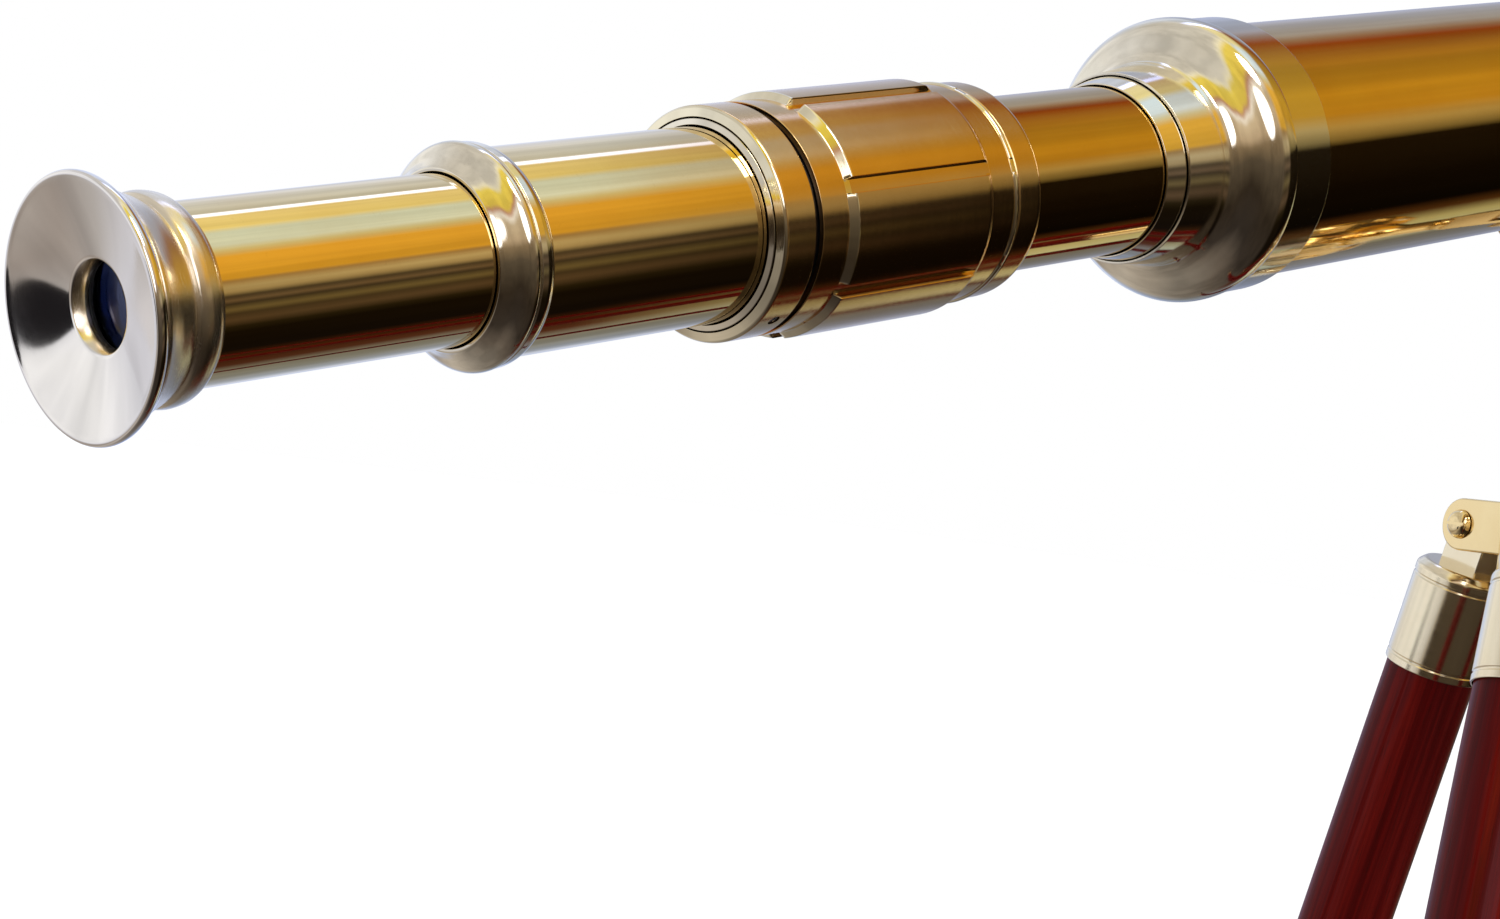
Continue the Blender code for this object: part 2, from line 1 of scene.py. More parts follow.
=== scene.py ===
"""A brass draw-tube telescope on a mahogany tripod, dressed for a studio picture.

Turned pieces are lathed from (station, radius, rounding) corners in millimetres, in the same
stations as the solids: along the telescope from the eyepiece rim, down a leg from its hinge
pin, and up from the leg hinges' level on the tripod's head.
"""

import json
import math

import bmesh
import bpy
from mathutils import Matrix, Vector


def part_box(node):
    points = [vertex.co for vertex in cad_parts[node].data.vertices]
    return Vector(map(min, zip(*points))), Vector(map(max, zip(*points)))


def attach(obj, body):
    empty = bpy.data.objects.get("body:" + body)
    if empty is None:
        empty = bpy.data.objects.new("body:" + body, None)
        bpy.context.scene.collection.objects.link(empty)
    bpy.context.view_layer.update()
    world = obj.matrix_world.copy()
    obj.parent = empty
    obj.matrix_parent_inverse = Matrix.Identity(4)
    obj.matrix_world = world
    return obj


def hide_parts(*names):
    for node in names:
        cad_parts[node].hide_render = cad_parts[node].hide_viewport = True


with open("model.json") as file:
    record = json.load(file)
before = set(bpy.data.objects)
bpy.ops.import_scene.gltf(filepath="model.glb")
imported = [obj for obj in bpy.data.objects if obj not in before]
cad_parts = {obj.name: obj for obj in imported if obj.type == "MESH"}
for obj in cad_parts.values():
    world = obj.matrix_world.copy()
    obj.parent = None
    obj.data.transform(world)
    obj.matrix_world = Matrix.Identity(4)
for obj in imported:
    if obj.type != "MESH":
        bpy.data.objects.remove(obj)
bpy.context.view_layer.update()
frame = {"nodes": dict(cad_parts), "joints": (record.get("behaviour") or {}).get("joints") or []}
MM = 0.001

# Sizes that several pieces share, in millimetres.
TUBE_1_RADIUS = 15.6
TUBE_2_RADIUS = 19.15
TUBE_3_RADIUS = 18.85
BARREL_RADIUS = 29.9
BARREL_START = 290.3
BARREL_END = 838.0
PIVOT_DROP = 62.0
BAND_SCREW_OFFSET = 37
EAR_RADIUS = 7.8
HUB_TOP = 8.0
HUB_BOTTOM = -22.0
LOCK_SCREW_HEIGHT = (HUB_TOP + HUB_BOTTOM) / 2
CLAMP_STATION = 648.0
FOOT_CENTRE_HEIGHT = 7.0
FOOT_BALL_RADIUS = 8.0

# Angles, in radians: round the telescope's axis, and round the tripod's.
SET_SCREW_ANGLE = math.radians(233.0 + 90)
LOCK_SCREW_AZIMUTH = math.radians(14.7)

# How meshes are made. Points closer than WELD metres are joined, and edges bent by more than
# SHARP_ANGLE degrees stay sharp. The rest are millimetres, or shares of a length.
WELD = 1e-7
SHARP_ANGLE = 38
ON_AXIS = 1e-6
USUAL_ROUNDING = 0.18
MOST_OF_RUN = 0.47
SUPPORT_GAP = 0.04
SUPPORT_SHARE = 0.3
TUBE_WALL = 0.8
KNURL_DEPTH = 0.28


# Frames of the object's parts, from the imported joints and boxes.
def joint(name):
    return next(j for j in frame["joints"] if j["name"] == name)


def axes(origin, z_axis, y_axis):
    """A matrix at origin whose Z and Y point along the two given directions."""
    z = Vector(z_axis).normalized()
    y = Vector(y_axis)
    y = (y - z * y.dot(z)).normalized()
    turn = Matrix((y.cross(z), y, z)).transposed().to_4x4()
    return Matrix.Translation(Vector(origin)) @ turn


UP = Vector((0, 0, 1))
LEFT = Vector((0, 1, 0))
FORWARD = Vector(joint("draw_1_slide")["axis"]).normalized()
barrel_low, barrel_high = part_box("main_barrel")
RIM = (barrel_low + barrel_high) / 2 - FORWARD * (BARREL_START + BARREL_END) / 2 * MM
SCOPE = axes(RIM, FORWARD, LEFT)
HEAD_CENTRE = Vector(joint("pan")["pos_m"]) - UP * HUB_TOP * MM
HEAD = axes(HEAD_CENTRE, UP, LEFT)
PIVOT = Vector(joint("tilt")["pos_m"])
OVER = LEFT.cross(FORWARD) * -1
CRADLE = axes(PIVOT + OVER * PIVOT_DROP * MM, OVER, LEFT)
LOCK_SCREW_OUT = Vector((math.cos(LOCK_SCREW_AZIMUTH), math.sin(LOCK_SCREW_AZIMUTH), 0))


def leg_frame(number):
    fold = joint(f"leg_fold_{number}")
    return axes(fold["pos_m"], joint(f"leg_extend_{number}")["axis"], fold["axis"])


# Profiles.
def rounded(corners, closed, steps=5):
    """A fine outline of the corners, each (station, radius[, rounding]), with edges eased.

    A straight run gets an extra point close to each of its ends, so that it shades flat.
    """
    count = len(corners)
    line = []
    for index, corner in enumerate(corners):
        here = Vector(corner[:2])
        ease = corner[2] if len(corner) > 2 else USUAL_ROUNDING
        at_end = not closed and index in (0, count - 1)
        before = Vector(corners[index - 1][:2])
        after = Vector(corners[(index + 1) % count][:2])
        if at_end or ease == 0:
            line.append(here)
            continue
        back = before - here
        ahead = after - here
        # Two roundings on one short run take less than half of it each.
        reach = min(ease, back.length * MOST_OF_RUN, ahead.length * MOST_OF_RUN)
        back.normalize()
        ahead.normalize()
        support = min(SUPPORT_GAP, reach * SUPPORT_SHARE)
        first = here + back * reach
        last = here + ahead * reach
        line.append(first + back * support)
        for step in range(steps + 1):
            share = step / steps
            line.append(first.lerp(here, share).lerp(here.lerp(last, share), share))
        line.append(last + ahead * support)
    return [(p.x, p.y) for p in line]


def spline(points, steps=8):
    """Points on a smooth curve through the given ones, as corners that are already fine."""
    ends = [points[0], *points, points[-1]]
    line = []
    for a, b, c, d in zip(ends, ends[1:], ends[2:], ends[3:]):
        a, b, c, d = (Vector(p) for p in (a, b, c, d))
        for step in range(steps):
            s = step / steps
            p = b * 2 + (c - a) * s + (a * 2 - b * 5 + c * 4 - d) * s**2
            p += (b * 3 - a - c * 3 + d) * s**3
            line.append((p.x / 2, p.y / 2, 0))
    line.append((*points[-1], 0))
    return line


def bead(station, radius, width, height, steps=8):
    """A half-round bead standing on a surface, from its front foot to its back foot."""
    line = []
    for step in range(steps + 1):
        angle = math.pi * (1 - step / steps)
        up = radius + height * math.sin(angle)
        line.append((station + width / 2 * math.cos(angle), up, 0))
    return line


# Meshes.
def add_object(name, mesh, matrix, look):
    obj = bpy.data.objects.new(name, mesh)
    bpy.context.scene.collection.objects.link(obj)
    obj.matrix_world = matrix
    mesh.materials.append(look)
    return obj


def finish_mesh(bm, name):
    bmesh.ops.remove_doubles(bm, verts=bm.verts, dist=WELD)
    bmesh.ops.recalc_face_normals(bm, faces=bm.faces)
    mesh = bpy.data.meshes.new(name)
    bm.to_mesh(mesh)
    bm.free()
    mesh.shade_smooth()
    mesh.set_sharp_from_angle(angle=math.radians(SHARP_ANGLE))
    return mesh


def lathe_mesh(name, corners, closed, sides, radius_at=None, angles=None):
    """Turns the outline about local Z. radius_at(station, radius, angle) may change a radius.

    A point on the axis is one vertex, so the faces that reach it are triangles.
    """
    line = rounded(corners, closed)
    if angles is None:
        angles = [2 * math.pi * i / sides for i in range(sides)]
    bm = bmesh.new()
    rings = []
    for station, radius in line:
        if radius < ON_AXIS:
            rings.append([bm.verts.new((0, 0, station * MM))] * len(angles))
            continue
        ring = []
        for angle in angles:
            r = radius_at(station, radius, angle) if radius_at else radius
            x, y = r * math.cos(angle), r * math.sin(angle)
            ring.append(bm.verts.new((x * MM, y * MM, station * MM)))
        rings.append(ring)
    pairs = list(zip(rings, rings[1:]))
    if closed:
        pairs.append((rings[-1], rings[0]))
    for a, b in pairs:
        for i in range(len(angles)):
            k = (i + 1) % len(angles)
            corner = []
            for vert in (a[i], a[k], b[k], b[i]):
                if vert not in corner:
                    corner.append(vert)
            if len(corner) > 2:
                bm.faces.new(corner)
    return finish_mesh(bm, name)


def stand_for(obj, body, slot, *nodes):
    """Puts the piece on its body, in place of these CAD nodes. The slot argument is not used."""
    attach(obj, body)
    if nodes:
        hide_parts(*nodes)
    return obj


def turned(name, corners, matrix, look, body, slot, closed=True, sides=128, **options):
    """A lathed piece that stands for the CAD node of the same name, less its fine_ prefix."""
    mesh = lathe_mesh(name, corners, closed, sides, **options)
    obj = add_object(name, mesh, matrix, look)
    return stand_for(obj, body, slot, name.removeprefix("fine_"))


# Flat, drilled and joined pieces.
def arc(centre, radius, start, end, count=24):
    """Corners on a circle, from the start angle to the end angle in degrees."""
    turns = (math.radians(start + (end - start) * i / count) for i in range(count + 1))
    return [(centre[0] + radius * math.cos(a), centre[1] + radius * math.sin(a), 0) for a in turns]


def plane_of(x_axis, y_axis, origin=(0, 0, 0)):
    """The matrix of a drawing plane with its X and Y along two directions of the piece's frame."""
    x = Vector(x_axis)
    y = Vector(y_axis)
    turn = Matrix((x, y, x.cross(y))).transposed().to_4x4()
    return Matrix.Translation(Vector(origin) * MM) @ turn


def plate_mesh(corners, thickness, plane, ease=0.5):
    """A flat shape with eased edges, thick half each way from its drawing plane."""
    outline = rounded(corners, True)
    bm = bmesh.new()
    rings = []
    for z in (-thickness / 2, thickness / 2):
        rings.append([bm.verts.new((x * MM, y * MM, z * MM)) for x, y in outline])
    bm.faces.new(reversed(rings[0]))
    bm.faces.new(rings[1])
    for i in range(len(outline)):
        k = (i + 1) % len(outline)
        bm.faces.new((rings[0][i], rings[0][k], rings[1][k], rings[1][i]))
    bmesh.ops.remove_doubles(bm, verts=bm.verts, dist=WELD)
    if ease:
        rims = [e for e in bm.edges if abs(e.verts[0].co.z - e.verts[1].co.z) < WELD]
        bmesh.ops.bevel(
            bm, geom=rims, offset=ease * MM, segments=3, profile=0.5, affect="EDGES",
            clamp_overlap=True,
        )
    bm.transform(plane)
    return finish_mesh(bm, "plate")


def rod_mesh(start, end, radius, ease=0.0, sides=64):
    """A round bar between two points of the piece's frame."""
    start = Vector(start)
    along = Vector(end) - start
    corners = [(0, 0), (0, radius, ease), (along.length, radius, ease), (along.length, 0)]
    mesh = lathe_mesh("rod", corners, False, sides)
    turn = along.to_track_quat("Z", "Y").to_matrix().to_4x4()
    mesh.transform(Matrix.Translation(start * MM) @ turn)
    return mesh


def combined(mesh, joins=(), cuts=()):
    """The mesh with some meshes joined to it and others then cut out of it."""
    steps = [(mesh, None)] + [(m, "UNION") for m in joins] + [(m, "DIFFERENCE") for m in cuts]
    helpers = []
    for other, operation in steps:
        helpers.append(bpy.data.objects.new("helper", other))
        bpy.context.scene.collection.objects.link(helpers[-1])
        if operation:
            step = helpers[0].modifiers.new("step", "BOOLEAN")
            step.operation = operation
            step.solver = "MANIFOLD"
            step.object = helpers[-1]
    bpy.context.view_layer.update()
    graph = bpy.context.evaluated_depsgraph_get()
    result = bpy.data.meshes.new_from_object(helpers[0].evaluated_get(graph))
    for helper in helpers:
        bpy.data.objects.remove(helper)
    # The Boolean adds an empty material slot, which would leave every face undressed.
    result.materials.clear()
    result.shade_smooth()
    result.set_sharp_from_angle(angle=math.radians(SHARP_ANGLE))
    return result


def built(name, mesh, matrix, look, body, slot):
    """A joined or drilled piece that stands for the CAD node of the same name."""
    obj = add_object(name, mesh, matrix, look)
    even = obj.modifiers.new("even_normals", "WEIGHTED_NORMAL")
    even.keep_sharp = True
    return stand_for(obj, body, slot, name.removeprefix("fine_"))


def knurled(count, radius):
    """A radius_at that puts fine ridges round every part at least as wide as radius."""

    def ridge(station, here, angle):
        if here < radius:
            return here
        return here - KNURL_DEPTH * (0.5 - 0.5 * math.cos(count * angle))

    return ridge


# Materials.
class Nodes:
    """A short way to write a material's nodes."""

    def __init__(self, tree):
        self.tree = tree

    def add(self, kind, inputs=None, **settings):
        node = self.tree.nodes.new(kind)
        for key, value in settings.items():
            setattr(node, key, value)
        for key, value in (inputs or {}).items():
            self.feed(node.inputs[key], value)
        return node

    def feed(self, socket, value):
        if isinstance(value, bpy.types.NodeSocket):
            self.tree.links.new(value, socket)
        else:
            socket.default_value = value

    def math(self, operation, *values, clamp=False):
        node = self.add("ShaderNodeMath", operation=operation, use_clamp=clamp)
        for socket, value in zip(node.inputs, values):
            self.feed(socket, value)
        return node.outputs[0]

    def ramp(self, factor, stops):
        node = self.add("ShaderNodeValToRGB", {"Fac": factor})
        elements = node.color_ramp.elements
        while len(elements) < len(stops):
            elements.new(0.5)
        for element, (place, colour) in zip(elements, stops):
            element.position = place
            element.color = (*colour, 1)
        return node.outputs["Color"]

    def mix(self, factor, a, b, blend="MIX"):
        """Mixes two colours. The node's sockets 6 and 7 and its output 2 are those for colours."""
        node = self.add("ShaderNodeMix", {0: factor}, data_type="RGBA", blend_type=blend)
        self.feed(node.inputs[6], a)
        self.feed(node.inputs[7], b)
        return node.outputs[2]

    def noise(self, vector, scale, detail=3.0, roughness=0.5):
        inputs = {"Vector": vector, "Scale": scale, "Detail": detail, "Roughness": roughness}
        return self.add("ShaderNodeTexNoise", inputs).outputs["Fac"]

    def stretched(self, vector, scale):
        node = self.add("ShaderNodeMapping", {"Vector": vector, "Scale": scale})
        return node.outputs["Vector"]


def new_material(name):
    """A material, a helper for its nodes, its shader, and the place on the object in metres."""
    made = bpy.data.materials.new(name)
    made.use_nodes = True
    tree = made.node_tree
    shader = tree.nodes["Principled BSDF"]
    nodes = Nodes(tree)
    place = nodes.add("ShaderNodeTexCoord").outputs["Object"]
    return made, nodes, shader, place


# Heights of the relief on brass, in metres: the least rings of a lathe tool, what a turned_lines of
# 1 adds to them, and shallow dents.
LEAST_RINGS = 0.0000009
TOOL_RINGS = 0.000012
DENTS = 0.000004
POLISHED_YELLOW = (0.95, 0.86, 0.62)


def brass(
    name,
    colour,
    deep,
    rough,
    turned_lines=0.0,
    wear=0.25,
    polished=(),
    polished_colour=POLISHED_YELLOW,
):
    """Polished or machined brass: slightly uneven tarnish, hair scratches and tool marks.

    deep is the tarnish's colour. turned_lines is the strength of the rings that a lathe tool leaves
    round the part. polished lists spans of stations that are smoother than the rest.
    """
    made, n, shader, place = new_material(name)
    shader.inputs["Metallic"].default_value = 1.0
    cloud = n.noise(n.stretched(place, (60, 60, 45)), 1.0, 4.0, 0.6)
    tarnish = n.ramp(cloud, [(0.38, (0, 0, 0)), (0.72, (1, 1, 1))])
    base = n.mix(n.math("MULTIPLY", tarnish, wear), (*colour, 1), (*deep, 1))
    fleck = n.noise(place, 900.0, 2.0, 0.7)
    spots = n.ramp(fleck, [(0.66, (0, 0, 0)), (0.72, (1, 1, 1))])
    base = n.mix(n.math("MULTIPLY", spots, 0.25 * wear), base, (*(c * 0.45 for c in deep), 1))
    bright = 0.0
    station = n.add("ShaderNodeSeparateXYZ", {0: place}).outputs["Z"]
    for start, end in polished:
        after_start = n.math("GREATER_THAN", station, start * MM)
        before_end = n.math("LESS_THAN", station, end * MM)
        bright = n.math("ADD", bright, n.math("MULTIPLY", after_start, before_end))
    if polished:
        base = n.mix(bright, base, (*polished_colour, 1))
    n.feed(shader.inputs["Base Color"], base)

    smear = n.noise(n.stretched(place, (90, 90, 700)), 1.0, 3.0, 0.6)
    hair = n.noise(n.stretched(place, (500, 500, 14000)), 1.0, 2.0, 0.8)
    both = n.math("ADD", n.math("MULTIPLY", smear, 0.6), n.math("MULTIPLY", hair, 0.5))
    rough_map = n.math("ADD", n.math("MULTIPLY", both, rough), rough * 0.45, clamp=True)
    if polished:
        kept = n.math("SUBTRACT", 1.0, n.math("MULTIPLY", bright, 0.7))
        rough_map = n.math("MULTIPLY", rough_map, kept)
    n.feed(shader.inputs["Roughness"], rough_map)

    rings = n.noise(n.stretched(place, (40, 40, 9000.0)), 1.0, 3.0, 0.75)
    dents = n.noise(place, 260.0, 2.0, 0.5)
    ring_height = n.math("MULTIPLY", rings, LEAST_RINGS + TOOL_RINGS * turned_lines)
    height = n.math("ADD", ring_height, n.math("MULTIPLY", dents, DENTS))
    bump = n.add("ShaderNodeBump", {"Height": height, "Strength": 1.0, "Distance": 1.0})
    n.feed(shader.inputs["Normal"], bump.outputs["Normal"])
    return made


def mahogany(name):
    """Dark red varnished wood, with straight grain along local Z and small pores."""
    made, n, shader, place = new_material(name)
    warp = n.noise(n.stretched(place, (30, 30, 3)), 1.0, 3.0, 0.6)
    sideways = n.add("ShaderNodeCombineXYZ", {0: warp, 1: warp, 2: 0.0}).outputs[0]
    inputs = {0: sideways, 1: (0.012, 0.009, 0.0), 2: place}
    moved = n.add("ShaderNodeVectorMath", inputs, operation="MULTIPLY_ADD").outputs[0]
    grain = n.noise(n.stretched(moved, (420, 420, 9)), 1.0, 5.0, 0.62)
    bands = n.noise(n.stretched(moved, (110, 110, 4)), 1.0, 3.0, 0.5)
    both = n.math("ADD", n.math("MULTIPLY", grain, 0.55), n.math("MULTIPLY", bands, 0.45))
    colour = n.ramp(both, [
        (0.30, (0.022, 0.0002, 0.0002)),
        (0.47, (0.060, 0.0006, 0.0004)),
        (0.58, (0.095, 0.0020, 0.0008)),
        (0.72, (0.140, 0.0060, 0.0016)),
    ])
    pores = n.noise(n.stretched(place, (2600, 2600, 90)), 1.0, 2.0, 0.6)
    dark = n.ramp(pores, [(0.60, (0, 0, 0)), (0.70, (1, 1, 1))])
    base = n.mix(n.math("MULTIPLY", dark, 0.5), colour, (0.018, 0.003, 0.002, 1))
    n.feed(shader.inputs["Base Color"], base)
    n.feed(shader.inputs["Roughness"], n.math("ADD", n.math("MULTIPLY", grain, 0.25), 0.30))
    shader.inputs["Specular IOR Level"].default_value = 0.04
    shader.inputs["Coat Weight"].default_value = 0.14
    shader.inputs["Coat Roughness"].default_value = 0.05
    shader.inputs["Coat IOR"].default_value = 1.45
    ripple = n.noise(n.stretched(place, (160, 160, 12)), 1.0, 2.0, 0.5)
    fine = n.add("ShaderNodeBump", {"Height": ripple, "Strength": 1.0, "Distance": 0.00006})
    n.feed(shader.inputs["Coat Normal"], fine.outputs["Normal"])
    inputs = {"Height": dark, "Strength": 0.6, "Distance": 0.00003}
    sunk = n.add("ShaderNodeBump", inputs, invert=True)
    n.feed(shader.inputs["Normal"], sunk.outputs["Normal"])
    return made


def plain_dark(name, colour, metallic, rough):
    """Black paint or blackened steel, with paler dust on it."""
    made, n, shader, place = new_material(name)
    dust = n.noise(place, 700.0, 3.0, 0.6)
    paler = (*(c * 1.9 + 0.004 for c in colour), 1)
    n.feed(shader.inputs["Base Color"], n.mix(dust, (*colour, 1), paler))
    shader.inputs["Metallic"].default_value = metallic
    n.feed(shader.inputs["Roughness"], n.math("ADD", n.math("MULTIPLY", dust, 0.2), rough))
    bump = n.add("ShaderNodeBump", {"Height": dust, "Strength": 0.4, "Distance": 0.00002})
    n.feed(shader.inputs["Normal"], bump.outputs["Normal"])
    return made


def optical_glass(name):
    """Clear glass whose coating reflects blue, with faint smudges."""
    made, n, shader, place = new_material(name)
    smudge = n.noise(place, 160.0, 3.0, 0.5)
    base = n.mix(smudge, (0.62, 0.74, 0.92, 1), (0.70, 0.80, 0.95, 1))
    n.feed(shader.inputs["Base Color"], base)
    n.feed(shader.inputs["Roughness"], n.math("MULTIPLY", smudge, 0.03))
    shader.inputs["Transmission Weight"].default_value = 1.0
    shader.inputs["IOR"].default_value = 1.52
    shader.inputs["Specular Tint"].default_value = (0.03, 0.08, 0.55, 1)
    return made


MIRROR = brass("mirror_brass", (0.93, 0.74, 0.38), (0.80, 0.50, 0.18), 0.035)
BARREL = brass("barrel_brass", (0.90, 0.66, 0.28), (0.78, 0.46, 0.14), 0.05)
PALE = brass("pale_brass", (0.92, 0.85, 0.68), (0.84, 0.70, 0.48), 0.07, turned_lines=0.15,
             wear=0.2)
CUP = brass("cup_brass", (0.90, 0.80, 0.62), (0.80, 0.64, 0.42), 0.24, turned_lines=0.05,
            polished=[(-1.0, 4.05)], polished_colour=(0.92, 0.87, 0.79))
RING = brass("ring_brass", (0.86, 0.60, 0.28), (0.66, 0.38, 0.14), 0.10, turned_lines=0.5,
             polished=[(156.85, 158.45), (206.7, 208.2)])
COLLAR = brass("collar_brass", (0.88, 0.63, 0.30), (0.68, 0.40, 0.16), 0.12, turned_lines=0.4,
               polished=[(138.0, 139.7)])
FITTING = brass("fitting_brass", (0.93, 0.74, 0.40), (0.76, 0.50, 0.20), 0.09, turned_lines=0.15)
CAP = brass("cap_brass", (0.92, 0.81, 0.58), (0.82, 0.66, 0.40), 0.16, turned_lines=0.15)
BLACK = plain_dark("black_paint", (0.008, 0.008, 0.009), 0.0, 0.35)
STEEL = plain_dark("dark_steel", (0.05, 0.05, 0.06), 1.0, 0.25)
GLASS = optical_glass("lens_glass")
WOOD = mahogany("red_mahogany")


# Telescope. Its eyepiece's dish, in millimetres: the station of its bottom, its depth, the radius
# of its inner edge, its width, and how far its middle is hollowed below a plain cone.
DISH_STEPS = 24
DISH_BOTTOM = 3.8
DISH_DEPTH = 3.44
DISH_INNER_RADIUS = 8.0
DISH_WIDTH = 12.7
DISH_HOLLOW = 0.16


def dish_corner(share):
    """A point on the dish, from 0 at its inner edge to 1 at its outer one."""
    hollow = DISH_HOLLOW * 4 * share * (1 - share)
    return DISH_BOTTOM - DISH_DEPTH * share + hollow, DISH_INNER_RADIUS + DISH_WIDTH * share, 0


def build_eyepiece():
    dish = [(3.95, 7.8, 0)] + [dish_corner(step / DISH_STEPS) for step in range(DISH_STEPS + 1)]
    rim = spline([(0.16, 21.35), (0.1, 21.75), (0.3, 22.2), (0.85, 22.42), (1.6, 22.3),
                  (2.2, 21.9)], 5)
    flare = spline([(2.2, 21.9), (3.2, 21.05), (4.9, 19.85), (7.0, 18.75), (9.0, 17.95),
                    (10.5, 17.35)])[1:]
    collar = [(10.9, 17.05, 0.12), (11.5, 17.75, 0.4), (13.0, 18.1, 1.4), (15.4, 17.7, 1.2),
              (16.9, 16.3, 0.6)]
    inside = [(16.9, 15.9, 0.1), (10.7, 15.9, 0.1), (10.7, 10.3, 0.1), (6.6, 10.3, 0.1),
              (6.6, 7.1, 0.1), (5.9, 7.1, 0.1)]
    turned("fine_eyepiece_cup", dish + rim + flare + collar + inside, SCOPE, CUP, "draw_1",
           "pale_brass", sides=160)
    cell = [(6.9, 7.4), (6.9, 10.0), (36.0, 10.0), (36.0, 8.9), (7.5, 8.9), (7.5, 7.4)]
    turned("fine_eyepiece_cell", cell, SCOPE, BLACK, "draw_1", "black_lacquer", sides=96)
    lens = spline([(7.9, 0.0), (8.03, 3.0), (8.25, 6.0), (8.4, 8.6)])
    lens += spline([(10.2, 8.6), (11.0, 6.0), (11.45, 3.0), (11.6, 0.0)])
    turned("fine_eye_lens", lens, SCOPE, GLASS, "draw_1", "glass", closed=False, sides=96)


def draw_tube(name, span, radius, body, look):
    start, end = span
    bore = radius - TUBE_WALL
    corners = [(start, bore), (start, radius), (end, radius), (end, bore)]
    turned(name, corners, SCOPE, look, body, "polished_brass", sides=160)


def build_draws():
    draw_tube("fine_draw_tube_1", (11.0, 99.0), TUBE_1_RADIUS, "draw_1", MIRROR)
    draw_tube("fine_draw_tube_2", (84.6, 155.0), TUBE_2_RADIUS, "draw_2", MIRROR)
    draw_tube("fine_draw_tube_3", (209.8, 311.0), TUBE_3_RADIUS, "draw_3", BARREL)
    face = spline([(75.0, 16.95), (76.3, 18.2), (77.4, 19.6), (78.1, 20.35), (78.7, 20.75)], 6)
    outer = spline([(78.7, 20.75), (79.3, 20.9), (79.9, 20.8), (80.3, 20.45)], 5)[1:]
    ring = [(74.4, 15.9, 0.08), (74.4, 16.5, 0.2)] + face + outer
    ring += [(80.55, 20.3, 0.06), (80.75, 20.62, 0.12), (82.6, 20.6, 0.6), (83.9, 20.0, 0.5),
             (84.3, 19.2, 0.1)]
    ring += [(84.3, 18.05, 0.1), (94.5, 18.05), (94.5, 15.9)]
    turned("fine_tube_2_end_ring", ring, SCOPE, PALE, "draw_2", "pale_brass", sides=160)


def build_focus():
    shell = [(138.8, 20.95, 0.08), (139.4, 22.75, 0.25), (139.85, 23.1, 0.25), (147.6, 23.1, 0.2),
             (147.6, 22.0, 0.1), (142.0, 22.0), (142.0, 20.95)]
    out = Vector((math.cos(SET_SCREW_ANGLE), math.sin(SET_SCREW_ANGLE), 0))
    at = Vector((0, 0, 144.2))
    hole = rod_mesh(at + out * 21.85, at + out * 24, 1.3)
    collar = combined(lathe_mesh("collar", shell, True, 160), cuts=[hole])
    built("fine_focus_collar", collar, SCOPE, COLLAR, "focus_carriage", "satin_brass")
    grub = [(0, 0), (0, 0.95, 0.1), (0.85, 0.95, 0.15), (0.85, 0)]
    slot = [(-1.2, -0.16, 0), (1.2, -0.16, 0), (1.2, 0.16, 0), (-1.2, 0.16, 0)]
    slot = plate_mesh(slot, 0.8, plane_of((1, 0, 0), (0, 1, 0), (0, 0, 0.85)), 0.0)
    screw = combined(lathe_mesh("screw", grub, False, 48), cuts=[slot])
    turn = out.to_track_quat("Z", "Y").to_matrix().to_4x4()
    screw.transform(Matrix.Translation((at + out * 22.02) * MM) @ turn)
    built("fine_focus_set_screw", screw, SCOPE, STEEL, "focus_carriage", "polished_brass")
    bush = [(138.3, 19.45, 0.08), (138.72, 20.6, 0.12), (139.2, 20.65, 0.1), (150.5, 20.65),
            (150.5, 19.45)]
    turned("fine_focus_collar_bush", bush, SCOPE, PALE, "focus_carriage", "pale_brass", sides=160)
    sleeve = [(142.3, 20.9), (142.3, 21.7), (186.0, 21.7), (186.0, 20.9)]
    turned("fine_focus_thread_sleeve", sleeve, SCOPE, STEEL, "focus_carriage", "blackened_steel",
           sides=128)
    ring_end = [(198.0, 20.9), (198.0, 21.7), (208.5, 21.7), (208.5, 22.5, 0.12),
                (208.8, 22.8, 0.15), (215.2, 22.8, 0.8), (216.7, 21.9, 0.5), (217.35, 20.6, 0.3),
                (217.5, 19.6, 0.15), (217.5, 19.15, 0.05), (209.5, 19.15), (209.5, 20.9)]
    turned("fine_focus_end_ring", ring_end, SCOPE, COLLAR, "draw_3", "satin_brass", sides=160)
    build_fluted_ring()


# The flutes along the focusing ring. Widths are in millimetres round the ring at FLUTE_RADIUS,
# and a wall reaches FLUTE_WALL to each side of its flute's edge.
FLUTES = 7
FLUTE_PITCH = 2 * math.pi / FLUTES
FIRST_FLUTE = math.radians(164.2 + 90)
FLUTE_RADIUS = 24.0
FLUTE_HALF = 1.5
FLUTE_WALL = 0.16
FLUTE_FLOOR = 23.1
FLUTES_START = 156.5
LAND_STEPS = 16


def flute_angles():
    """Angles round the ring, close together at each flute's two walls."""
    angles = []
    half = FLUTE_HALF / FLUTE_RADIUS
    wall = FLUTE_WALL / FLUTE_RADIUS
    land = FLUTE_PITCH - 2 * (half + wall)
    for index in range(FLUTES):
        middle = FIRST_FLUTE + index * FLUTE_PITCH
        land_start = middle + half + wall
        next_wall = middle + FLUTE_PITCH - half - wall
        angles += [middle + half * k / 3 * 0.9 for k in (-2, -1, 0, 1, 2)]
        angles += [middle + half + wall * k / 3 for k in range(-3, 4)]
        angles += [land_start + land * (k + 0.5) / LAND_STEPS for k in range(LAND_STEPS)]
        angles += [next_wall + wall * (k / 3) for k in range(7)]
    return sorted(a % (2 * math.pi) for a in angles)


